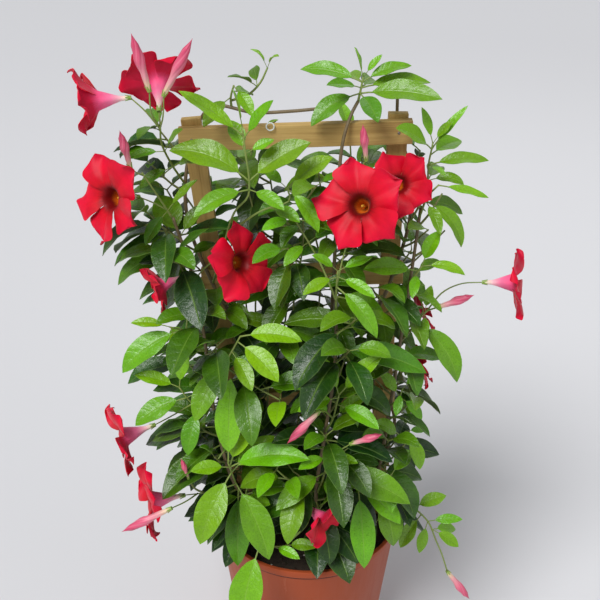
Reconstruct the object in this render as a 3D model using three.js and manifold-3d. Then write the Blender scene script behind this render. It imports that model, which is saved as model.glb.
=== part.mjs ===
// A mandevilla in a terracotta-coloured nursery pot, trained up a small wooden trellis.
// Millimetres, +Z up. The origin is the centre of the pot's flat base, on the surface.
// The viewer looks along +Y, so -Y is the front and +X is the viewer's right.

import * as THREE from 'three'
import { mergeVertices } from 'three/addons/utils/BufferGeometryUtils.js'
import Module from 'manifold-3d'

const wasm = await Module()
wasm.setup()

// Driving sizes
const potHeight = 235
const rimRadius = 124
const baseRadius = 98
const potWall = 2.2
const lipHeight = 11
const lipDepth = 3
const potSides = 32
const drainHoles = 5
const drainRadius = 7
const seat = 0.3 // the gap left where one piece rests on or stands in another
const soilTop = potHeight - 17
const rootDepth = 33 // how far a stem reaches below the soil's top

const postWidth = 22
const postDepth = 10
const railWidth = 26
const railDepth = 11
const postFoot = 120 // height of a post's lower end, in the soil
const postTop = 783

const bladeThick = 0.8
const vineRadius = 3.2
const twigRadius = 1.7
const stalkRadius = 1.2
const stalkHalf = 0.7 // half the width of a leaf's own stalk
const outwardPull = 28 // degrees by which a leaf turns away from the plant's middle, to the light
const outwardRoll = 22 // degrees by which its face tips the same way
const vineSeed = 113 // number of the vines' first leaf, after the shoots' own
const tubeLength = 42
const mouthRadius = 12.5
const lobeLength = 38
const lobeHalf = 23
const budRadius = 5.6

// Each post by its two ends [x, z] along the middle of the slat
const posts = {
  left: { foot: [-69.3, postFoot], top: [-129, postTop] },
  right: { foot: [94.9, postFoot], top: [97, postTop + 6] },
}
// Each rail by its two ends [x, z] along the middle of the slat
const rails = {
  top: [[-142, 762.5], [112, 771.5]],
  upper: [[-126, 591.5], [111, 599.5]],
  lower: [[-111, 415], [110, 422]],
  bottom: [[-102, 317], [108, 324.5]],
}

// Colours
const green = 0x4f8a2c
const brown = 0x7a4a35
const red = 0xa3121c
const pink = 0xd8566a
const wood = 0xc9a57a
const clay = 0xb5603c
const earth = 0x241d19

// Vector arithmetic on plain [x, y, z] triples
const add = (a, b) => [a[0] + b[0], a[1] + b[1], a[2] + b[2]]
const along = (a, d, k) => [a[0] + d[0] * k, a[1] + d[1] * k, a[2] + d[2] * k]
const minus = (a, b) => [a[0] - b[0], a[1] - b[1], a[2] - b[2]]
const cross = (a, b) => [
  a[1] * b[2] - a[2] * b[1],
  a[2] * b[0] - a[0] * b[2],
  a[0] * b[1] - a[1] * b[0],
]
const dot = (a, b) => a[0] * b[0] + a[1] * b[1] + a[2] * b[2]
const size = (a) => Math.hypot(a[0], a[1], a[2])
const unit = (a) => [a[0] / size(a), a[1] / size(a), a[2] / size(a)]
const mix = (a, b, t) => [a[0] + (b[0] - a[0]) * t, a[1] + (b[1] - a[1]) * t, a[2] + (b[2] - a[2]) * t]
const radians = (degrees) => degrees * Math.PI / 180

// A repeatable number from 0 to 1 for a leaf's seed and the use it is put to
function chance(seed, use) {
  const wave = Math.sin(seed * 12.9898 + use * 78.233) * 43758.5453
  return wave - Math.floor(wave)
}

// Solids

function solidOf(geometry) {
  const bare = geometry.clone()
  bare.deleteAttribute('normal')
  bare.deleteAttribute('uv')
  const welded = mergeVertices(bare, 1e-4)
  return new wasm.Manifold(new wasm.Mesh({
    numProp: 3,
    vertProperties: new Float32Array(welded.attributes.position.array),
    triVerts: new Uint32Array(welded.index.array),
  }))
}

function geometryOf(solid) {
  const mesh = solid.getMesh()
  const geometry = new THREE.BufferGeometry()
  geometry.setAttribute('position', new THREE.BufferAttribute(new Float32Array(mesh.vertProperties), 3))
  geometry.setIndex(new THREE.BufferAttribute(new Uint32Array(mesh.triVerts), 1))
  geometry.computeVertexNormals()
  return geometry
}

function skin(positions, indices) {
  const geometry = new THREE.BufferGeometry()
  geometry.setAttribute('position', new THREE.BufferAttribute(new Float32Array(positions), 3))
  geometry.setIndex(indices)
  return solidOf(geometry)
}

function joined(solids) {
  return solids.reduce((whole, piece) => whole.add(piece))
}

// The largest piece of a cut solid: scraps cut loose by a neighbour are dropped
function mainPiece(solid) {
  const pieces = solid.decompose()
  return pieces.reduce((a, b) => (a.volume() > b.volume() ? a : b))
}

function curveThrough(points) {
  return new THREE.CatmullRomCurve3(points.map((p) => new THREE.Vector3(...p)), false, 'centripetal')
}

function pointsAlong(points, spacing) {
  const curve = curveThrough(points)
  const count = Math.max(2, Math.ceil(curve.getLength() / spacing))
  return curve.getSpacedPoints(count).map((p) => [p.x, p.y, p.z])
}

function turned(profile, sides) {
  return solidOf(new THREE.LatheGeometry(profile.map(([r, z]) => new THREE.Vector2(r, z)), sides)
    .rotateX(Math.PI / 2))
}

// A turned solid moved so that its own Z axis leaves `from` along `axis`
function turnedAlong(profile, sides, from, axis) {
  const upright = new THREE.Vector3(0, 0, 1)
  const turn = new THREE.Quaternion().setFromUnitVectors(upright, new THREE.Vector3(...axis))
  const geometry = new THREE.LatheGeometry(profile.map(([r, z]) => new THREE.Vector2(r, z)), sides)
  geometry.rotateX(Math.PI / 2)
  geometry.applyQuaternion(turn)
  geometry.translate(...from)
  return solidOf(geometry)
}

// Leaves

// A point of a leaf's middle surface, `t` from the blade's base to its tip and `s` from -1 to 1 across.
// The midrib bends down through `droop` along its length and the two halves fold up by `fold`.
function leafPoint(leaf, t, s) {
  const bend = leaf.droop * t
  const run = leaf.length * (Math.sin(leaf.rise) - Math.sin(leaf.rise - bend)) / leaf.droop
  const climb = leaf.length * (Math.cos(leaf.rise - bend) - Math.cos(leaf.rise)) / leaf.droop
  const out = [Math.cos(leaf.turn), Math.sin(leaf.turn), 0]
  const flat = [-Math.sin(leaf.turn), Math.cos(leaf.turn), 0]
  const slope = leaf.rise - bend
  const up = [-Math.sin(slope) * out[0], -Math.sin(slope) * out[1], Math.cos(slope)]
  const side = add(along([0, 0, 0], flat, Math.cos(leaf.roll)), along([0, 0, 0], up, Math.sin(leaf.roll)))
  const face = add(along([0, 0, 0], up, Math.cos(leaf.roll)), along([0, 0, 0], flat, -Math.sin(leaf.roll)))
  const middle = [leaf.base[0] + out[0] * run, leaf.base[1] + out[1] * run, leaf.base[2] + climb]
  const half = leaf.width / 2 * halfWidth(t)
  const across = along(middle, side, s * half * Math.cos(leaf.fold))
  const at = along(across, face, Math.abs(s) * half * Math.sin(leaf.fold))
  const facing = along(face, side, -s * Math.sin(leaf.fold))
  return { at, up: unit(facing) }
}

// Elliptic, widest just before the middle, drawn out to a fine tip
function halfWidth(t) {
  return Math.sin(Math.PI * Math.min(1, t) ** 0.9) ** 0.8
}

// A square stem whose faces look to `turn` and the three directions a quarter turn apart. Each leaf
// grows out of one short stretch of one face, so that stem and leaves are a single closed skin.
function leafyStem(route, radius, spacing, turn, leaves = []) {
  const curve = curveThrough(route)
  const long = curve.getLength()
  const count = Math.max(2, Math.ceil(long / spacing))
  const nodes = [...new Set(leaves.map((leaf) => leaf.share))]
  const stations = []
  for (let i = 0; i <= count; i++) {
    const near = nodes.some((share) => Math.abs(share - i / count) * long < spacing * 0.4)
    if (i === 0 || !near) stations.push({ share: i / count })
  }
  for (const share of nodes) {
    stations.push({ share: share - stalkHalf / long, node: share })
    stations.push({ share: Math.min(1, share + stalkHalf / long) })
  }
  stations.sort((a, b) => a.share - b.share)

  const positions = []
  const indices = []
  const put = (at) => positions.push(...at) / 3 - 1
  const vertex = (index) => positions.slice(3 * index, 3 * index + 3)
  let toward = [Math.cos(radians(turn)), Math.sin(radians(turn)), 0]
  for (const station of stations) {
    const at = curve.getPointAt(station.share).toArray()
    const ahead = curve.getTangentAt(station.share).toArray()
    toward = unit(along(toward, ahead, -dot(toward, ahead)))
    const aside = cross(ahead, toward)
    const looks = [toward, aside, along([0, 0, 0], toward, -1), along([0, 0, 0], aside, -1)]
    station.leaves = []
    for (const leaf of leaves) {
      if (leaf.share !== station.node) continue
      const out = unit(minus(leaf.base, leaf.root))
      const free = [0, 1, 2, 3].filter((k) => !station.leaves[k])
      const best = free.reduce((a, b) => (dot(looks[b], out) > dot(looks[a], out) ? b : a))
      station.leaves[best] = leaf
    }
    station.ring = []
    for (let k = 0; k < 4; k++) {
      const corner = radians(90 * k - 45)
      const offset = along(along([0, 0, 0], toward, Math.cos(corner)), aside, Math.sin(corner))
      station.ring.push(put(along(at, offset, radius)))
    }
  }
  for (let i = 0; i + 1 < stations.length; i++) {
    const low = stations[i].ring
    const high = stations[i + 1].ring
    for (let k = 0; k < 4; k++) {
      const next = (k + 1) % 4
      const quad = [low[k], low[next], high[next], high[k]]
      const leaf = stations[i].leaves[k]
      if (leaf) growLeaf(leaf, quad, vertex, put, indices)
      else indices.push(quad[0], quad[1], quad[2], quad[0], quad[2], quad[3])
    }
  }
  const first = stations[0].ring
  const last = stations.at(-1).ring
  indices.push(first[0], first[2], first[1], first[0], first[3], first[2])
  indices.push(last[0], last[1], last[2], last[0], last[2], last[3])
  return skin(positions, indices)
}

// A leaf out of the four corners `quad` of a face, as rows across its middle surface: three points,
// three points, the tip. Both faces are split into the same triangles, so its thickness is kept.
function growLeaf(leaf, quad, vertex, put, indices) {
  const out = unit(minus(leaf.base, leaf.root))
  const flat = [-Math.sin(leaf.turn), Math.cos(leaf.turn), 0]
  const up = cross(out, flat)
  const wanted = [[-1, -1], [1, -1], [1, 1], [-1, 1]].map(([x, z]) => along(along([0, 0, 0], flat, x), up, z))
  const middle = quad.map(vertex).reduce(add).map((v) => v / 4)
  const from = quad.map((corner) => minus(vertex(corner), middle))
  const fit = (shift) => wanted.reduce((sum, w, i) => sum + dot(w, from[(i + shift) % 4]), 0)
  const shift = [0, 1, 2, 3].reduce((a, b) => (fit(b) > fit(a) ? b : a))
  const [underLeft, underRight, topRight, topLeft] = quad.map((_, i) => quad[(i + shift) % 4])
  let top = [topLeft, topRight]
  let under = [underLeft, underRight]
  for (const [t, sides] of [[0.27, [-1, 0, 1]], [0.66, [-1, 0, 1]], [1, [0]]]) {
    const row = sides.map((side) => leafPoint(leaf, t, side))
    const nextTop = row.map(({ at, up: n }) => put(along(at, n, bladeThick / 2)))
    const nextUnder = row.map(({ at, up: n }) => put(along(at, n, -bladeThick / 2)))
    joinRows(top, under, nextTop, nextUnder, indices)
    top = nextTop
    under = nextUnder
  }
}

// The skin between two rows of a blade: its two faces and its two edges
function joinRows(top, under, nextTop, nextUnder, indices) {
  const near = top.length - 1
  const far = nextTop.length - 1
  let i = 0
  let j = 0
  while (i < near || j < far) {
    if (i === near || (j < far && (j + 0.5) * near < (i + 0.5) * far)) {
      indices.push(top[i], nextTop[j], nextTop[j + 1], under[i], nextUnder[j + 1], nextUnder[j])
      j++
    } else {
      indices.push(top[i], nextTop[j], top[i + 1], under[i], under[i + 1], nextUnder[j])
      i++
    }
  }
  indices.push(top[0], under[0], nextUnder[0], top[0], nextUnder[0], nextTop[0])
  indices.push(top[near], nextUnder[far], under[near], top[near], nextTop[far], nextUnder[far])
}

function leafSamples(leaf) {
  const samples = [0.3, 0.6, 0.9].map((t) => ({ at: mix(leaf.root, leaf.base, t), r: 2, inner: true }))
  for (let i = 0; i <= 8; i++) {
    const t = 0.04 + i * 0.12
    for (const s of [-0.85, -0.4, 0, 0.4, 0.85]) {
      samples.push({ at: leafPoint(leaf, t, s).at, r: 3.9, inner: t < 0.1 })
    }
  }
  return samples
}

// What is already in place, as balls sorted into cells, so that a new leaf can be kept clear of it
const cell = 12
const placed = new Map()
const cellOf = (at) => at.map((v) => Math.floor(v / cell))

function keep(samples, owner) {
  for (const sample of samples) {
    const key = cellOf(sample.at).join()
    if (!placed.has(key)) placed.set(key, [])
    placed.get(key).push({ ...sample, owner })
  }
}

function isClear(samples, owner) {
  for (const sample of samples) {
    if (nearPot(sample.at)) return false
    const [cx, cy, cz] = cellOf(sample.at)
    for (let x = cx - 1; x <= cx + 1; x++) {
      for (let y = cy - 1; y <= cy + 1; y++) {
        for (let z = cz - 1; z <= cz + 1; z++) {
          for (const other of placed.get([x, y, z].join()) ?? []) {
            const own = other.owner === owner
            if (own && sample.inner && other.inner) continue
            const room = (sample.r + other.r) * (own ? 0.7 : 1)
            if (size(minus(sample.at, other.at)) < room) return false
          }
        }
      }
    }
  }
  return true
}

// Leaves keep off the pot's wall, inside and out, and off the soil
function nearPot([x, y, z]) {
  const r = Math.hypot(x, y)
  const wall = baseRadius + (rimRadius - baseRadius) * z / potHeight
  if (z < potHeight + 5 && Math.abs(r - wall) < 9) return true
  return z < soilTop + 7 && r < wall
}

// Ways to bend a leaf clear: degrees of turn, degrees of rise, and how much it shrinks
const bends = [
  [0, 0, 1], [12, 8, 1], [-12, 8, 1], [0, -20, 1], [20, -10, 1], [-20, -10, 1], [0, 25, 1],
  [28, 12, 0.9], [-28, 12, 0.9], [0, -38, 0.9], [0, 42, 0.85], [16, 25, 0.75], [-16, 25, 0.75],
  [28, 0, 0.7], [-28, 0, 0.7], [0, -30, 0.65], [0, 10, 0.55], [25, 40, 0.55], [-25, 40, 0.55],
]

// The end of a leaf's stalk, where its blade begins
function stalkEnd(leaf) {
  const reach = 6 + leaf.length * 0.1
  return [
    leaf.root[0] + Math.cos(leaf.turn) * Math.cos(leaf.rise) * reach,
    leaf.root[1] + Math.sin(leaf.turn) * Math.cos(leaf.rise) * reach,
    leaf.root[2] + Math.sin(leaf.rise) * reach,
  ]
}

// The single leaves of a sprig. Each row gives the share of the stem that it grows from, the place of
// its tip, how far it droops and rolls in degrees, and its width as a share of its length.
function leavesAtTips(sprig, owner) {
  const leaves = []
  const curve = curveThrough(sprig.route)
  for (const [share, x, y, z, droop, roll, wide] of sprig.tips ?? []) {
    const root = curve.getPointAt(share).toArray()
    const way = minus([x, y, z], root)
    const bend = radians(droop)
    const chord = Math.sin(bend / 2) / (bend / 2)
    const length = (size(way) - 6) / (0.1 + chord)
    const leaf = {
      turn: Math.atan2(way[1], way[0]),
      rise: Math.atan2(way[2], Math.hypot(way[0], way[1])) + 0.45 * bend,
      roll: radians(roll),
      droop: bend,
      fold: radians(14),
      length,
      width: wide * length,
      root,
      share,
    }
    leaf.base = stalkEnd(leaf)
    const samples = leafSamples(leaf)
    if (isClear(samples, owner)) {
      keep(samples, owner)
      leaves.push(leaf)
    }
  }
  return leaves
}

// The leaves of a sprig: opposite pairs, each crossed with the pair below, smaller and steeper to the tip
function leavesOf(sprig, owner, seed, leaves = []) {
  const curve = curveThrough(sprig.route)
  const { pairs, length, turn, first = 0.35, low = -5, high = 55 } = sprig
  const last = sprig.last ?? 1 - stalkHalf / curve.getLength()
  for (let pair = 0; pair < pairs; pair++) {
    const share = pairs === 1 ? 1 : pair / (pairs - 1)
    const place = first + (last - first) * share
    const at = curve.getPointAt(place)
    const ahead = curve.getTangentAt(place).toArray()
    for (const side of [0, 1]) {
      const draw = (use) => chance(seed + pair * 2 + side, use)
      const grown = (1 - 0.4 * share ** 1.5) * (0.86 + 0.28 * draw(1))
      const outward = Math.atan2(at.y - 5, at.x)
      const natural = radians(turn + 90 * pair + 180 * side + (draw(2) - 0.5) * 30)
      const lit = natural + radians(outwardPull) * Math.sin(outward - natural)
      for (const [moreTurn, moreRise, shrink] of bends) {
        const leaf = {
          turn: lit + radians(moreTurn),
          rise: radians(Math.min(66, low + (high - low) * share + (draw(3) - 0.5) * 20 + moreRise)),
          roll: radians((draw(4) - 0.5) * 24) - radians(outwardRoll) * Math.sin(outward - lit),
          droop: radians(30 + 35 * draw(5)),
          fold: radians(12 + 10 * draw(6)),
          length: length * grown * shrink,
          root: [at.x, at.y, at.z],
          share: place,
        }
        leaf.width = leaf.length * (0.43 + 0.1 * draw(7))
        leaf.base = stalkEnd(leaf)
        const samples = leafSamples(leaf)
        const out = unit(minus(leaf.base, leaf.root))
        const lean = dot(out, ahead)
        const alongStem = lean < -0.45 || (lean > 0.75 && share < 1)
        const twin = leaves.find((one) => one.share === place)
        const besideTwin = twin && Math.cos(leaf.turn - twin.turn) > -0.25
        if (!alongStem && !besideTwin && isClear(samples, owner)) {
          keep(samples, owner)
          leaves.push(leaf)
          break
        }
      }
    }
  }
  return leaves
}

// Blooms

// Five broad lobes turned like a pinwheel around the mouth of a funnel.
// `bloom.at` is the end of its stalk, `bloom.face` the way it looks, `bloom.grow` its size against
// the common one, `bloom.forward` how far its lobes stand forward from flat, in degrees.
function bloomFrame(bloom) {
  const face = unit(bloom.face)
  const level = Math.abs(face[2]) > 0.9 ? [1, 0, 0] : [0, 0, 1]
  const right = unit(cross(level, face))
  return { face, right, up: cross(face, right) }
}

// A point of a lobe's middle surface, `t` from the mouth to the far edge and `s` from -1 to 1 across.
// The sides keep inside the lobe's fifth of the circle; one side is lifted over the next lobe.
function lobePoint(bloom, lobe, t, s) {
  const { face, right, up } = bloomFrame(bloom)
  const turn = radians(bloom.spin + 72 * lobe)
  const out = add(along([0, 0, 0], right, Math.cos(turn)), along([0, 0, 0], up, Math.sin(turn)))
  const side = add(along([0, 0, 0], right, -Math.sin(turn)), along([0, 0, 0], up, Math.cos(turn)))
  const open = lobeLength * t * Math.cos(radians(bloom.forward))
  const reach = mouthRadius * Math.cos(radians(36 * s)) + open * (1 + 0.08 * s)
  const spread = mouthRadius * Math.sin(radians(36)) + 0.68 * open
  const half = Math.min(spread, lobeHalf, 0.72 * (mouthRadius + open)) * (1 - 0.35 * t ** 5)
  const curl = 7 * Math.sin(Math.PI * t * 0.55) - (5 + 10 * chance(bloom.spin, lobe)) * t * t
  const lift = curl + 5 * s * Math.min(1, 2.5 * t) + lobeLength * t * Math.sin(radians(bloom.forward))
  let at = along(bloom.at, face, (tubeLength + lift) * bloom.grow)
  at = along(at, out, reach * bloom.grow)
  return along(at, side, s * half * bloom.grow)
}

function lobeRow(bloom, lobe, t, across) {
  const step = 0.02
  return across.map((s) => {
    const at = lobePoint(bloom, lobe, t, s)
    const outward = minus(lobePoint(bloom, lobe, t + step, s), lobePoint(bloom, lobe, t - step, s))
    const sideways = minus(lobePoint(bloom, lobe, t, s + step), lobePoint(bloom, lobe, t, s - step))
    return { at, up: unit(cross(outward, sideways)) }
  })
}

// The whole bloom is one closed skin: the funnel's outside, the lobes' backs, edges and fronts, the throat.
// Round the mouth the skin has ten corners, one in the middle of each lobe and one between each two.
function bloomSolid(bloom) {
  const positions = []
  const indices = []
  const { face, right, up } = bloomFrame(bloom)
  const start = along(bloom.at, face, seat)
  const put = (at) => positions.push(...at) / 3 - 1
  const ring = (r, z, corners) => {
    const made = []
    for (let i = 0; i < corners; i++) {
      const turn = radians(bloom.spin + 360 * i / corners - 36)
      const at = along(start, face, z * bloom.grow)
      const offset = along(along([0, 0, 0], right, Math.cos(turn)), up, Math.sin(turn))
      made.push(put(along(at, offset, r * bloom.grow)))
    }
    return made
  }
  const strip = (low, high) => {
    for (let i = 0; i < high.length; i++) {
      const share = low.length / high.length
      const a = low[Math.floor(i * share)]
      const b = low[Math.floor((i + 1) * share) % low.length]
      indices.push(a, high[(i + 1) % high.length], high[i])
      if (a !== b) indices.push(a, b, high[(i + 1) % high.length])
    }
  }
  const foot = ring(2.4, 0, 5)
  const waist = ring(3.3, 15, 5)
  const flare = ring(9.8, 33, 10)
  const throat = ring(8.7, 33.5, 10)
  const backLip = []
  const frontLip = []
  for (let i = 0; i < 10; i++) {
    const lobe = Math.floor(i / 2)
    const edge = lobePoint(bloom, lobe, 0, i % 2 ? 0 : -1)
    const outward = unit(minus(edge, along(start, face, tubeLength * bloom.grow)))
    backLip.push(put(along(along(edge, face, -0.5), outward, 0.5)))
    frontLip.push(put(along(along(edge, face, 0.5), outward, -0.5)))
  }
  indices.push(foot[0], foot[2], foot[1], foot[0], foot[3], foot[2], foot[0], foot[4], foot[3])
  strip(foot, waist)
  strip(waist, flare)
  strip(flare, backLip)
  strip(frontLip, throat)
  const depth = put(along(start, face, 21 * bloom.grow))
  for (let i = 0; i < 10; i++) indices.push(throat[i], throat[(i + 1) % 10], depth)
  for (let lobe = 0; lobe < 5; lobe++) {
    const corners = [2 * lobe, 2 * lobe + 1, (2 * lobe + 2) % 10]
    let front = corners.map((i) => frontLip[i])
    let back = corners.map((i) => backLip[i])
    for (const [t, across] of [[0.4, [-1, 0, 1]], [0.8, [-1, 0, 1]], [1, [-0.6, 0.5]]]) {
      const row = lobeRow(bloom, lobe, t, across)
      const nextFront = row.map((p) => put(along(p.at, p.up, bladeThick / 2)))
      const nextBack = row.map((p) => put(along(p.at, p.up, -bladeThick / 2)))
      joinRows(front, back, nextFront, nextBack, indices)
      front = nextFront
      back = nextBack
    }
    indices.push(front[0], back[0], back[1], front[0], back[1], front[1])
  }
  return skin(positions, indices)
}

function bloomSamples(bloom) {
  const { face } = bloomFrame(bloom)
  const samples = []
  for (let i = 0; i < 6; i++) {
    const z = 4 + 8 * i
    samples.push({ at: along(bloom.at, face, z * bloom.grow), r: i < 3 ? 4 : 9 })
  }
  for (let lobe = 0; lobe < 5; lobe++) {
    for (const t of [0.15, 0.4, 0.65, 0.9]) {
      for (const s of [-0.85, -0.3, 0.3, 0.85]) {
        samples.push({ at: lobePoint(bloom, lobe, t, s), r: 4.6 })
      }
    }
  }
  return samples
}

// A furled bud: a slim spindle from `bud.at` to `bud.tip`
function budSolid(bud) {
  const axis = unit(minus(bud.tip, bud.at))
  const long = size(minus(bud.tip, bud.at))
  const r = Math.min(budRadius, long * 0.12)
  const profile = [
    [0, 0], [r * 0.42, 0], [r * 0.62, long * 0.3], [r, long * 0.55], [r * 0.72, long * 0.8], [0, long],
  ]
  return turnedAlong(profile, 6, along(bud.at, axis, seat), axis)
}

function budSamples(bud) {
  return [0.1, 0.3, 0.5, 0.7, 0.9].map((t) => ({ at: mix(bud.at, bud.tip, t), r: 7 }))
}

// What a stalk's end is cut back by, so that the bloom or bud sits on it squarely
function footCut(held) {
  const axis = unit(held.face ?? minus(held.tip, held.at))
  return turnedAlong([[0, 0], [4, 0], [4, 7], [0, 7]], 6, held.at, axis)
}

// Vines: brown stems out of the soil, wound round the posts and over the rails, with old leaves low down
const vines = {
  vine_left: {
    pairs: 6, length: 84, turn: 200, first: 0.08, last: 0.55,
    route: [[-62, -16, 185], [-62, -16, 240], [-87, -21, 318], [-113, 2, 366], [-97, 21, 420],
            [-84, 4, 505], [-112, -21, 592], [-137, -3, 655], [-140, 6, 705], [-127, 22, 762],
            [-104, 8, 795], [-60, -2, 791], [-20, -4, 793], [12, -4, 796]],
  },
  vine_right: {
    pairs: 6, length: 74, turn: 320, first: 0.1, last: 0.8,
    route: [[79, -17, 185], [79, -17, 240], [96, -22, 325], [114, 4, 372], [98, 21, 425],
            [78, 3, 510], [96, -22, 598], [116, 3, 660], [114, 10, 720], [99, 22, 768],
            [96, 14, 802]],
  },
  vine_centre: {
    pairs: 6, length: 80, turn: 250, first: 0.15, last: 0.85,
    route: [[14, 24, 185], [14, 24, 240], [18, 20, 320], [24, 20, 425], [27, 0, 505], [29, -21, 592],
            [31, -26, 680], [36, -22, 765], [45, -13, 793], [52, -5, 804]],
  },
  vine_front: {
    pairs: 4, length: 84, turn: 260, first: 0.2, last: 0.7,
    route: [[16, -50, 185], [16, -50, 240], [10, -84, 330], [20, -92, 430], [30, -84, 520],
            [30, -74, 600]],
    tips: [
        [0.853, 134, -96, 515, 35, 34, 0.34], [0.853, -23, -88, 569, 25, -38, 0.42],
    ],
  },
  vine_front_left: {
    pairs: 5, length: 84, turn: 220, first: 0.16, last: 0.68,
    route: [[-50, -40, 185], [-50, -40, 240], [-92, -78, 340], [-112, -72, 440], [-122, -52, 540],
            [-134, -40, 620], [-150, -38, 684]],
    tips: [
        [0.903, -223, -21, 587, 60, -40, 0.3], [0.953, -173, 14, 688, 10, -16, 0.62],
        [0.953, -115, -24, 693, 20, 33, 0.45], [0.903, -107, -13, 639, 30, 26, 0.42],
    ],
  },
  vine_front_right: {
    pairs: 5, length: 66, turn: 300, first: 0.16, last: 0.8,
    route: [[56, -38, 185], [56, -38, 240], [86, -58, 330], [100, -52, 440], [110, -42, 540],
            [118, -34, 620], [124, -26, 690]],
  },
}

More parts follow.
